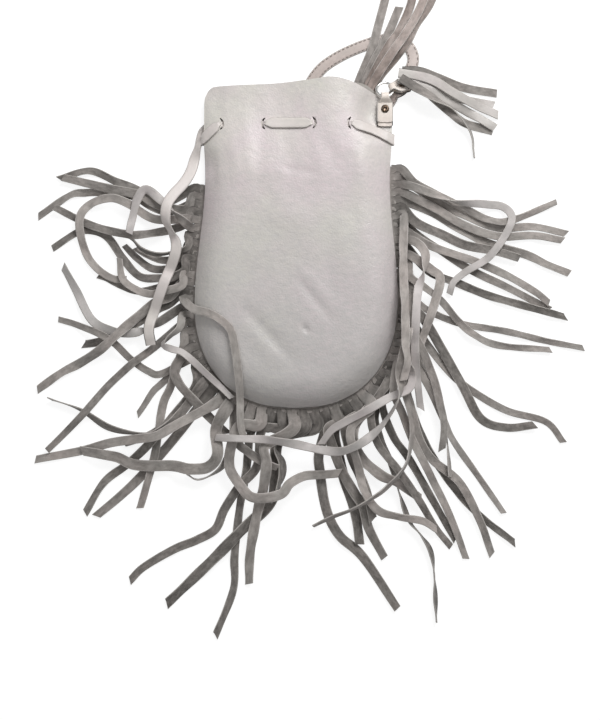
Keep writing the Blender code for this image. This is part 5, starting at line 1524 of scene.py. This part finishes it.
@dataclass
class Drawstring:
    """The flat lace through the slots, from the first tassel to its free left end."""

    form: PouchForm
    heap: Heap
    materials: Materials
    width: float = 8.0
    thickness: float = 1.2
    clearance: float = 0.35
    wrap_y: float = 79.5
    wrap_reach: float = 1.5
    pinch: float = 5.2
    pinch_reach: float = 3.1
    twist: tuple[float, float] = (62.0, 82.0)
    edge_turn: tuple[float, float] = (48.0, 12.0)
    turn_reach: float = 9.0

    def turned(self, length: Array, degrees: float, middle: float) -> Array:
        """A turn about the lace's own length, in radians: a bell curve about one place on it."""
        return math.radians(degrees) * np.exp(-(((length - middle) / self.turn_reach) ** 2))

    def body_route(self) -> list[Array]:
        """The lace from the left slot of the back through every slot to its hidden end.

        Returns:
            Rows of a place and the direction across.
        """
        form = self.form
        reach = self.clearance + self.thickness / 2
        over = form.leather + reach
        inside = form.edge_top + form.leather + reach
        beneath = form.edge_top - form.gap - self.thickness / 2
        out_right = float(form.right_x(self.wrap_y)) + self.wrap_reach
        out_left = float(form.left_x(self.wrap_y)) - self.wrap_reach
        top_edge = form.edge_top + 2 * form.leather + form.gap + 0.1
        f1, f2, f3, f4 = form.front_slots
        (x1, y1), (x2, y2) = form.back_slots

        def flat(x: float, y: float, z: float) -> Array:
            """A level place of the lace, with the direction across it."""
            return np.array([x, y, z, 0.0, 1.0, 0.0])

        def stretch(start: float, end: float, height: float, count: int) -> list[Array]:
            """Places along the slots' line between two of them."""
            return [form.over_front(x, form.slot_y, height) for x in np.linspace(start, end, count)]

        route = [flat(x1, y1, inside), flat(x2, y2, inside), flat(x2, y2, beneath)]
        route += [flat(66.0, 80.5, beneath), flat(out_right, self.wrap_y, beneath)]
        route += [flat(out_right, self.wrap_y, top_edge)]
        for t in (0.14, 0.3, 0.5, 0.75):
            x = (out_right - self.wrap_reach) * (1 - t) + f4 * t
            y = self.wrap_y * (1 - t) + form.slot_y * t
            route.append(form.over_front(x, y, over + 0.7 * (1.0 - t)))
        route += [form.over_front(f4, form.slot_y, over)] + stretch(f4, f3, -reach, 5)
        route += stretch(f3, f2, over, 6) + stretch(f2, f1, -reach, 6)
        route += [form.over_front(f1, form.slot_y, over)]
        for t in (0.3, 0.55, 0.8):
            x = f1 * (1 - t) + (out_left + self.wrap_reach) * t
            y = form.slot_y * (1 - t) + self.wrap_y * t
            route.append(form.over_front(x, y, over))
        route += [flat(out_left, self.wrap_y, top_edge), flat(out_left, self.wrap_y, beneath)]
        end = on_table(TASSEL_1[0][1][:1])[0] - (2.6, 1.6)
        return route + [flat(-60.0, 82.0, beneath), flat(-8.0, 95.0, beneath), flat(*end, beneath)]

    def route(self) -> Array:
        """Middle line of the whole lace with the across direction at each point, free end first.

        Returns:
            Rows of a place and the direction across.
        """
        tail = spline(on_table(LACE_TAIL), 2.5)
        low = self.form.gap + self.thickness / 2 + 0.3
        length = run(tail)
        turns = self.turned(length, *self.twist)
        heights = self.heap.lay(tail, np.full(len(tail), self.width), self.thickness, turns, low, 24.0)
        on_edge = self.turned(length, *self.edge_turn)
        turns, heights = turns + on_edge, heights + self.width / 2 * np.sin(on_edge)
        line = np.column_stack([tail, heights])[::-1]
        ahead = tangents(line)
        across = unit(np.cross((0.0, 0.0, 1.0), ahead))
        turned = turns[::-1, None]
        across = across * np.cos(turned) + np.cross(across, ahead) * np.sin(turned)
        x1, y1 = self.form.back_slots[0]
        under = np.array([[-65.0, 90.0, low, 0.0, 1.0, 0.0], [x1, y1, low, 0.0, 1.0, 0.0]])
        rows = np.vstack([np.column_stack([line, across]), under, self.body_route()])
        return resample(rounded(rows, 1.7), 0.9)

    def build(self, carried: list[Piece]) -> list[Piece]:
        """The lace, narrowed where it dips through a slot.

        Args:
            carried: the pieces on the lace; not used.

        Returns:
            The lace.
        """
        route = self.route()
        path = route[:, :3]
        slots = np.array([form_slot[:3] for form_slot in
                          (self.form.over_front(x, self.form.slot_y, 1.2) for x in self.form.front_slots)])
        apart = np.linalg.norm(path[:, None, :] - slots[None, :, :], axis=2).min(axis=1)
        widths = self.width - self.pinch * np.exp(-((apart / self.pinch_reach) ** 2))
        skin = Skin()
        Ribbon(path, widths, self.thickness, across=route[:, 3:], cup=0.12).add_to(skin)
        shades = [self.materials[key] for key in ("lace_grain", "lace_grain", "cut_edge")]
        lace = skin.mesh("lace", shades, sharp=60.0)
        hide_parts("drawstring")
        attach(lace, "pouch")
        LOG.info("lace is %.0f mm long", run(path)[-1])
        return [lace]


@dataclass
class Hardware:
    """The two tabs, their rivets and the ring at the right of the mouth."""

    form: PouchForm
    materials: Materials
    ring_radius: float = 6.3
    ring_wire: float = 0.9
    ring_slope: float = math.radians(28.0)
    strap_tab_angle: float = math.radians(15.0)
    leather: float = 1.1
    tab_width: float = 12.0
    fold_width: float = 6.0
    bore: float = 1.95
    fold_y: float = 111.6
    back_length: float = 22.0
    front_length: float = 19.0
    strap_tab_length: float = 12.5
    strap_rivet: float = 7.6
    strap_thickness: float = 1.4
    cap_radius: float = 3.0
    cap_height: float = 1.0
    cap_clearance: float = 0.6
    droop: float = 1.6
    tab_corner: float = 1.4

    def __post_init__(self) -> None:
        """Works out the two hinges and the directions of the second tab."""
        form = self.form
        y = np.linspace(self.fold_y - self.back_length, form.tab_rivet_y + 4.0, 12)[None, :]
        x = form.tab_x + np.array([[-0.5], [0.0], [0.42]]) * self.tab_width
        base = float(form.front_under(x, y).max()) + form.leather * 1.08 + form.gap
        self.fold = np.array([form.tab_x, self.fold_y, base + self.bore + self.leather])
        sideways = np.array([1.0, 0.0, 0.0])
        downhill = np.array([0.0, math.cos(self.ring_slope), -math.sin(self.ring_slope)])
        self.middle = self.fold + self.ring_radius * downhill
        cos, sin = math.cos(self.strap_tab_angle), math.sin(self.strap_tab_angle)
        self.second = self.middle + self.ring_radius * (cos * sideways + sin * downhill)
        self.wire = cos * downhill - sin * sideways
        self.away = unit(np.cross(self.wire, (0.0, 0.0, 1.0)))
        self.normal = unit(np.cross(self.away, self.wire))

    def upper_leaf(self, filling: float) -> float:
        """Height of the middle of a tab's upper leaf over the ring's wire."""
        return -self.bore + self.form.gap + filling + self.leather / 2

    def strap_level(self, within: bool) -> float:
        """Height of the strap's middle over the wire: between the leaves, or under the lower one.

        Args:
            within: whether it is between the leaves.

        Returns:
            The height.
        """
        if within:
            return -self.bore + self.form.gap + self.strap_thickness / 2
        return -self.bore - self.leather - self.form.gap - self.strap_thickness / 2

    def cover(self, heap: Heap) -> float:
        """Marks the second tab in a heap at a height that clears its rivet, and returns that height.

        Args:
            heap: the heap.

        Returns:
            The height.
        """
        top = self.second[2] + self.upper_leaf(self.strap_thickness + self.form.gap)
        top = float(top + self.leather / 2 + self.cap_height + self.cap_clearance)
        reach = np.linspace(-2.0, self.strap_tab_length, 40)[:, None, None]
        wide = np.linspace(-0.5, 0.5, 40)[None, :, None] * self.tab_width
        heap.stamp(self.second + self.away * reach + self.wire * wide, np.full((40, 40), top))
        return top

    def tab(self, name: str, fold: Array, away: Array, across: Array, normal: Array,
            lengths: tuple[float, float], filling: float) -> Piece:
        """A leather tab folded round the ring: lower leaf, a turn about the wire, upper leaf.

        Args:
            name: the piece's name.
            fold: middle of the wire inside the fold.
            away: direction from the fold to the tab's end.
            across: direction across the tab.
            normal: direction out of the upper leaf.
            lengths: how far the lower and the upper leaf reach.
            filling: thickness of what lies between the leaves.

        Returns:
            The tab.
        """
        radius = self.bore + self.leather / 2
        angle = np.linspace(-0.5, -1.75, 26) * math.pi
        height = self.upper_leaf(filling)
        lower = np.array([[lengths[0], -radius], [lengths[0] * 0.5, -radius]])
        turn = np.stack([radius * np.cos(angle), radius * np.sin(angle)], axis=1)
        upper = np.array([[self.bore + 2.4, height], [self.bore + 4.0, height], [lengths[1], height]])
        shape = np.vstack([lower, turn, upper])
        line = resample(np.column_stack([shape, np.zeros(len(shape))]), 0.5)
        sag = np.clip((line[:, 0] - 0.8 * lengths[1]) / lengths[1], 0.0, 1.0) * (line[:, 1] > height - 0.1)
        along, rise = line[:, :1], line[:, 1:2] - sag[:, None] * self.droop
        path = fold + along * away + rise * normal
        width = np.interp(line[:, 0], (0.5, 5.0), (self.fold_width, self.tab_width))
        corner = np.minimum(run(path), run(path)[::-1])
        bite = (1.0 - corner / self.tab_corner).clip(0.0)
        width = width - 2.0 * (1.0 - np.sqrt(np.clip(1.0 - bite**2, 0.0, 1.0)))
        skin = Skin()
        Ribbon(path, width, self.leather, across=np.tile(across, (len(path), 1)), cup=-0.12).add_to(skin)
        shades = [self.materials[key] for key in ("cream_leather", "cream_leather", "cut_edge")]
        return skin.mesh(name, shades, sharp=60.0)

    def rivet(self, name: str, top: Array, bottom: Array, axis: Array) -> Piece:
        """A cap rivet: a profile turned about its axis, with a domed rim, a hollow middle and a foot.

        Args:
            name: its name.
            top: middle of the upper face that it clamps.
            bottom: middle of the lower face.
            axis: direction out of the cap.

        Returns:
            The rivet.
        """
        depth = float(np.dot(top - bottom, axis)) + 0.2
        cap, high = self.cap_radius, self.cap_height
        profile = np.array([
            [0.0, high * 0.42], [0.55, high * 0.44], [0.95, high * 0.62], [1.35, high * 0.95], [1.8, high],
            [2.3, high * 0.92], [2.75, high * 0.66], [cap, high * 0.3], [cap, 0.05], [cap - 0.1, 0.0],
            [1.0, 0.0], [1.0, -depth], [2.45, -depth], [2.6, -depth - 0.2], [2.4, -depth - 0.6],
            [0.0, -depth - 0.6],
        ])
        sides = 48
        turn = np.linspace(0.0, 2 * math.pi, sides + 1)[:-1]
        side = unit(np.cross(axis, (0.3, 0.9, 0.1)))
        other = np.cross(axis, side)
        round_about = np.cos(turn)[:, None] * side + np.sin(turn)[:, None] * other
        rings = profile[:, :1, None] * round_about[None, :, :] + profile[:, 1:, None] * axis
        rings = rings + top + axis * 0.1
        skin = Skin()
        skin.add(rings[::-1], grid_faces(len(profile), sides, closed=True), 0)
        return skin.mesh(name, [self.materials["antique_brass"]], sharp=45.0)

    def ring(self) -> Piece:
        """The ring: a circle of wire carried round a larger circle, tilted by its slope.

        Returns:
            The ring.
        """
        rows, columns = 96, 24
        u = np.linspace(0.0, 2 * math.pi, rows + 1)[:-1, None]
        v = np.linspace(0.0, 2 * math.pi, columns + 1)[None, :-1]
        radius = self.ring_radius + self.ring_wire * np.cos(v)
        x, y = radius * np.cos(u), radius * np.sin(u)
        z = self.ring_wire * np.sin(v) * np.ones_like(u)
        cos, sin = math.cos(self.ring_slope), math.sin(self.ring_slope)
        points = np.stack([x, y * cos + z * sin, -y * sin + z * cos], axis=-1) + self.middle
        skin = Skin()
        faces = grid_faces(rows, columns, closed=True)
        skin.add(points, np.vstack([faces, self.closing(rows, columns)]), 0)
        return skin.mesh("ring_wire", [self.materials["nickel"]], sharp=180.0)

    def closing(self, rows: int, columns: int) -> Array:
        """Faces that join the last row of a closed grid to its first.

        Args:
            rows: rows of points.
            columns: points in a row.

        Returns:
            The faces.
        """
        j = np.arange(columns)
        k = (j + 1) % columns
        last = (rows - 1) * columns
        return np.stack([last + j, last + k, k, j], axis=1)

    def build(self) -> list[Piece]:
        """Every piece at the mouth's right corner, each on the body that it moves with.

        Returns:
            The five pieces.
        """
        form = self.form
        down, right, up = np.array([0.0, -1, 0]), np.array([1.0, 0, 0]), np.array([0.0, 0, 1])
        first = self.tab("ring_tab_leather", self.fold, down, right, up,
                         (self.back_length, self.front_length), 0.0)
        filling = self.strap_thickness + form.gap
        both = (self.strap_tab_length, self.strap_tab_length)
        second = self.tab("strap_tab_leather", self.second, self.away, self.wire, self.normal, both, filling)
        at = np.array([form.tab_x, form.tab_rivet_y, 0.0])
        low = at + up * float(form.back_under(form.tab_x, form.tab_rivet_y))
        high = at + up * (self.fold[2] + self.upper_leaf(0.0) + self.leather / 2)
        rivet_1 = self.rivet("ring_tab_rivet_cap", high, low, up)
        place = self.second + self.away * self.strap_rivet
        top = place + self.normal * (self.upper_leaf(filling) + self.leather / 2)
        foot = place + self.normal * (self.strap_level(False) - self.strap_thickness / 2)
        rivet_2 = self.rivet("strap_tab_rivet_cap", top, foot, self.normal)
        pieces = (
            (first, "ring_tab", "tab_leather", "pouch"), (second, "strap_tab", "tab_leather", "strap_tab"),
            (rivet_1, "ring_tab_rivet", "antique_brass", "pouch"),
            (rivet_2, "strap_tab_rivet", "antique_brass", "strap_tab"),
            (self.ring(), "ring", "nickel", "ring"),
        )
        for piece, node, slot, body in pieces:
            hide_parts(node)
            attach(piece, body)
        return [piece for piece, *_ in pieces]


@dataclass
class WristStrap:
    """The stitched strap, a loop with both ends in the second tab."""

    hardware: Hardware
    materials: Materials
    width: float = 9.0
    thickness: float = 1.4
    stitch_inset: float = 1.25
    stitch_length: float = 2.3
    stitch_pitch: float = 3.4
    stitch_margin: float = 6.0
    stitch_tone: float = 0.3
    lower_cut: float = 112.0
    upper_cut: float = 133.5

    def route(self) -> tuple[Array, Array]:
        """The strap's middle line and the direction across it, tilted with the tab near both ends.

        Returns:
            The line and the directions across.
        """
        hw = self.hardware
        rivet = hw.second + hw.away * hw.strap_rivet
        below = rivet + hw.normal * hw.strap_level(False)
        within = rivet + hw.normal * hw.strap_level(True)
        lead, leave = (unit(d - (d @ hw.normal) * hw.normal)
                       for d in (np.array([-0.5, -0.87, 0.0]), np.array([0.3, 0.95, 0.0])))
        corners = [below - lead * 3.0, below + lead * 3.0]
        corners += [np.append(on_table(((x, y),))[0], z) for x, y, z in STRAP_ROUTE]
        corners += [within + leave * 10.0, within + leave * 4.0, within - leave * 3.0]
        line = spline(np.array(corners), 1.5)
        ahead = tangents(line)
        apart = np.minimum(run(line), run(line)[::-1])
        share = smooth(7.0, 22.0, apart)[:, None]
        level, tilted = np.cross(ahead, (0.0, 0.0, 1.0)), np.cross(ahead, hw.normal)
        return line, unit(tilted * (1.0 - share) + level * share)

    def stitches(self, skin: Skin, line: Array, across: Array, low: float, high: float) -> None:
        """Threads along both edges between two lengths: small six-sided spindles, their size a half sine.

        Args:
            skin: what to add to.
            line: the strap's middle line.
            across: direction across at each point.
            low, high: the two lengths.
        """
        length = run(line)
        starts = np.arange(self.stitch_margin, length[-1] - self.stitch_margin, self.stitch_pitch)
        starts = starts[(starts >= low) & (starts < high)]
        side = unit(across - (across * tangents(line)).sum(axis=1)[:, None] * tangents(line))
        up = np.cross(side, tangents(line))
        up *= np.where(up[:, 2] < 0, -1.0, 1.0)[:, None]
        sides, rings = 6, 5
        turn = np.linspace(0.0, 2 * math.pi, sides + 1)[:-1]
        t = np.linspace(0.0, 1.0, rings)
        faces = grid_faces(rings, sides, closed=True)
        many = faces[None] + (np.arange(len(starts)) * rings * sides)[:, None, None]
        for edge in (-1.0, 1.0):
            at = starts[:, None] + self.stitch_length * t[None, :]
            place, wide, out = (np.stack([np.interp(at, length, column) for column in data.T], axis=-1)
                                 for data in (line, side, up))
            offset = edge * (self.width / 2 - self.stitch_inset)
            size = (0.14 + 0.26 * np.sin(math.pi * t))[None, :, None, None]
            arch = 0.2 * np.sin(math.pi * t)[None, :, None]
            middle = place + wide * offset + out * (self.thickness / 2 + arch)
            ring = wide[:, :, None, :] * np.cos(turn)[None, None, :, None]
            ring = ring + out[:, :, None, :] * np.sin(turn)[None, None, :, None]
            points = middle[:, :, None, :] + ring * size
            skin.add(points, many.reshape(-1, 4), THREAD, self.stitch_tone)

    def build(self) -> list[Piece]:
        """The strap with its stitches, in four lengths, each baked in place.

        Returns:
            The four pieces.
        """
        line, across = self.route()
        length = run(line)
        ribbon = Ribbon(line, np.full(len(line), self.width), self.thickness, across=across, cup=-0.3)
        shades = [self.materials[key] for key in ("strap_grain", "strap_grain", "cut_edge", "thread")]
        half, last = len(line) // 2, len(line) - 1
        lower = int(np.argmin(np.abs(line[:half, 1] - self.lower_cut)))
        upper = half + int(np.argmin(np.abs(line[half:, 1] - self.upper_cut)))
        at_ring, at_tab = ("pouch", "ring"), ("ring", "strap_tab")
        lengths = (
            ("strap_lower_end", 0, lower, Bend(at_tab, (74.5, 113.5, 4.0), (77.5, 117.0, 6.0))),
            ("strap_lower_half", lower, half, Bend(at_ring, (67.0, 101.0, 1.0), (71.5, 110.5, 3.0))),
            ("strap_upper_half", half, upper, Bend(at_ring, (88.5, 150.0, 2.0), (86.5, 134.5, 4.0))),
            ("strap_upper_end", upper, last, Bend(at_tab, (85.0, 132.5, 4.0), (82.0, 125.0, 7.0))),
        )
        pieces = []
        for name, first, final, bend in lengths:
            skin = Skin()
            ribbon.add_to(skin, first, final)
            self.stitches(skin, line, across, float(length[first]), float(length[final]))
            piece = skin.mesh(name, shades, sharp=60.0)
            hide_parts("strap")
            bend.apply(piece)
            pieces.append(piece)
        LOG.info("strap is %.0f mm long", length[-1])
        return pieces


@dataclass
class Tassel:
    """A bundle of leather strips on the table."""

    name: str
    node: str
    strips: tuple[tuple[float, Route], ...]
    heap: Heap
    materials: list[Material]
    level: float
    rise: float
    bends: tuple[Bend, Bend] | None = None
    cut: float = TASSEL_2_CUT
    width: float = 7.0
    thickness: float = 1.0
    seed: int = 11

    def ribbons(self) -> list[Ribbon]:
        """Lays the strips, each a little higher in the bundle than the one before.

        Returns:
            The strips.
        """
        draw = random.Random(self.seed)
        made = []
        for i, (turn, pixels) in enumerate(self.strips):
            path = spline(on_table(pixels), 1.8)
            length = run(path)
            wave = draw.uniform(30.0, 60.0)
            sway = math.radians(draw.uniform(4.0, 12.0)) * np.sin(length / wave * 2 * math.pi)
            own = math.radians(turn)
            flip = own if turn in (0, 180) else own * smooth(10.0, 45.0, length)
            turns = flip + sway * smooth(14.0, 30.0, length)
            widths = np.interp(length / length[-1], (0.0, 1.0), (self.width, self.width * 0.9))
            start = self.level + self.thickness / 2 + self.rise * i
            heights = self.heap.lay(path, widths, self.thickness, turns, start, 15.0, clearance=0.15)
            made.append(Ribbon(np.column_stack([path, heights]), widths, self.thickness, turns,
                               cup=draw.uniform(-0.2, 0.3), slant=draw.uniform(-0.4, 0.4),
                               tone=draw.uniform(0.1, 0.9)))
        return made

    def piece(self, part: str, ribbons: list[Ribbon], low: float, high: float) -> Piece:
        """The stretch of every strip whose path lies between two values of x.

        Args:
            part: what its name ends with.
            ribbons: the strips.
            low, high: the two values.

        Returns:
            The piece.
        """
        skin = Skin()
        for ribbon in ribbons:
            inside = np.flatnonzero((ribbon.path[:, 0] >= low) & (ribbon.path[:, 0] <= high))
            if len(inside) > 2:
                ribbon.add_to(skin, max(0, int(inside[0]) - (1 if low > 0 else 0)), int(inside[-1]))
        made = skin.mesh(self.name + part, self.materials, sharp=38.0)
        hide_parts(self.node)
        return made

    def build(self) -> list[Piece]:
        """The tassel: whole on the pouch, or its head and its strips, each baked in place.

        Returns:
            One piece or two.
        """
        ribbons = self.ribbons()
        if self.bends is None:
            whole = self.piece("", ribbons, -300.0, 300.0)
            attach(whole, "pouch")
            return [whole]
        head = self.piece("_head", ribbons, 0.0, self.cut)
        strips = self.piece("_strips", ribbons, self.cut, 300.0)
        for bend, piece in zip(self.bends, (head, strips)):
            bend.apply(piece)
        return [head, strips]


@dataclass
class Studio:
    """Camera, floor and soft light."""

    camera_height: float = 1250.0
    focus_level: float = 8.0
    key_place: tuple[float, float, float] = (0.3, 0.55, 0.62)
    key_size: float = 0.45
    key_power: float = 6.4
    fill_place: tuple[float, float, float] = (-0.9, 0.1, 1.0)
    fill_size: float = 1.2
    fill_power: float = 1.6
    world_level: float = 0.34
    floor_shadow: float = 0.35
    floor_glow: float = 1.28
    floor_half: float = 6000.0
    floor_sink: float = 0.05

    def camera(self) -> None:
        """A camera that looks straight down on the photo's middle, at the photo's scale."""
        x, y = on_table((PHOTO_CENTRE,))[0]
        data = bpy.data.cameras.new("camera")
        data.sensor_fit = "AUTO"
        data.sensor_width = 36.0
        half = PHOTO_HEIGHT * MM_PER_PIXEL / 2
        data.lens = data.sensor_width / 2 * (self.camera_height - self.focus_level) / half
        camera = bpy.data.objects.new("camera", data)
        camera.location = (x * MM, y * MM, self.camera_height * MM)
        bpy.context.scene.collection.objects.link(camera)
        bpy.context.scene.camera = camera

    def light(self, name: str, place: tuple[float, float, float], size: float, power: float) -> None:
        """A square area lamp that faces the pouch.

        Args:
            name: its name.
            place: where it is, in metres.
            size: its side.
            power: its power.
        """
        data = bpy.data.lights.new(name, "AREA")
        data.size, data.energy = size, power
        lamp = bpy.data.objects.new(name, data)
        lamp.location = place
        towards = -np.array(place)
        lamp.rotation_mode = "QUATERNION"
        lamp.rotation_quaternion = Vector(towards).to_track_quat("-Z", "Y")
        bpy.context.scene.collection.objects.link(lamp)

    def floor(self) -> None:
        """A wide pale floor, just under the back, that the camera sees as white with a faint shadow."""
        skin = Skin()
        corners = np.array([[-1, -1, 0], [1, -1, 0], [1, 1, 0], [-1, 1, 0]]) * self.floor_half
        corners = corners - (0.0, 0.0, self.floor_sink)
        skin.add(corners, np.array([[0, 1, 2, 3]]), 0)
        material = bpy.data.materials.new("white_table")
        material.use_nodes = True
        tree = material.node_tree
        make = Shading(tree)
        shader = tree.nodes["Principled BSDF"]
        shader.inputs["Base Color"].default_value = (0.9, 0.9, 0.9, 1.0)
        shader.inputs["Roughness"].default_value = 0.9
        path = make.node("ShaderNodeLightPath")
        seen = make.maths("MAXIMUM", path.outputs["Is Camera Ray"], path.outputs["Is Glossy Ray"])
        glow = make.node("ShaderNodeEmission", Strength=self.floor_glow)
        share = make.maths("MULTIPLY", seen, 1.0 - self.floor_shadow)
        mixed = make.node("ShaderNodeMixShader")
        for socket, value in zip(mixed.inputs, (share, shader.outputs[0], glow.outputs[0])):
            make.fill(socket, value)
        tree.links.new(mixed.outputs[0], tree.nodes["Material Output"].inputs["Surface"])
        skin.mesh("white_table", [material])

    def world(self) -> None:
        """An even sky, white to the camera."""
        world = bpy.data.worlds.new("studio")
        bpy.context.scene.world = world
        world.use_nodes = True
        make = Shading(world.node_tree)
        sky = world.node_tree.nodes["Background"]
        sky.inputs["Color"].default_value = (1.0, 1.0, 1.0, 1.0)
        seen = make.node("ShaderNodeLightPath").outputs["Is Camera Ray"]
        level = make.maths("ADD", make.maths("MULTIPLY", seen, 1.0 - self.world_level), self.world_level)
        world.node_tree.links.new(level, sky.inputs["Strength"])

    def build(self) -> None:
        """Lamps, floor and sky."""
        self.light("key", self.key_place, self.key_size, self.key_power)
        self.light("fill", self.fill_place, self.fill_size, self.fill_power)
        self.floor()
        self.world()
        bpy.context.scene.view_settings.view_transform = "Standard"


def main() -> None:
    """Builds the scene, piece by piece."""
    logging.basicConfig(level=logging.INFO, format="%(message)s")
    studio = Studio()
    studio.camera()
    effects = SharedEffects()
    materials = {finish.name: finish.material(effects) for finish in FINISHES}
    form = PouchForm()
    hardware = Hardware(form, materials)
    strap = WristStrap(hardware, materials)
    pile = Heap()
    pile.add_strap(*strap.route(), strap.width, strap.thickness)
    bundle = [materials[key] for key in ("suede", "tassel_grain", "cut_edge")]
    tassel_1 = Tassel("tassel_at_lace", "tassel_1", TASSEL_1, pile, bundle, level=0.4, rise=0.85).build()
    heap = Heap()
    heap.add_pouch(form)
    pieces = Fringe(form, heap, materials).build()
    pieces += Drawstring(form, heap, materials).build(tassel_1) + tassel_1
    pieces += Panels(form, materials).build() + hardware.build() + strap.build()
    top = hardware.cover(pile)
    pile.top = np.maximum(pile.top, heap.top)
    bundle = [materials[key] for key in ("suede", "pale_tassel_grain", "cut_edge")]
    bends = (Bend(("ring", "strap_tab"), (89.0, 124.0, 13.0), (83.0, 122.0, 13.0)),
             Bend(("pouch", "ring"), (122.0, 110.0, 8.0), (92.0, 122.0, 13.0)))
    pieces += Tassel("tassel_at_strap", "tassel_2", TASSEL_2, pile, bundle, level=top + 0.2, rise=0.35,
                     bends=bends).build()
    studio.build()
    for piece in pieces:
        LOG.info("%s: %d faces", piece.name, len(piece.data.polygons))


if __name__ == "__main__":
    main()
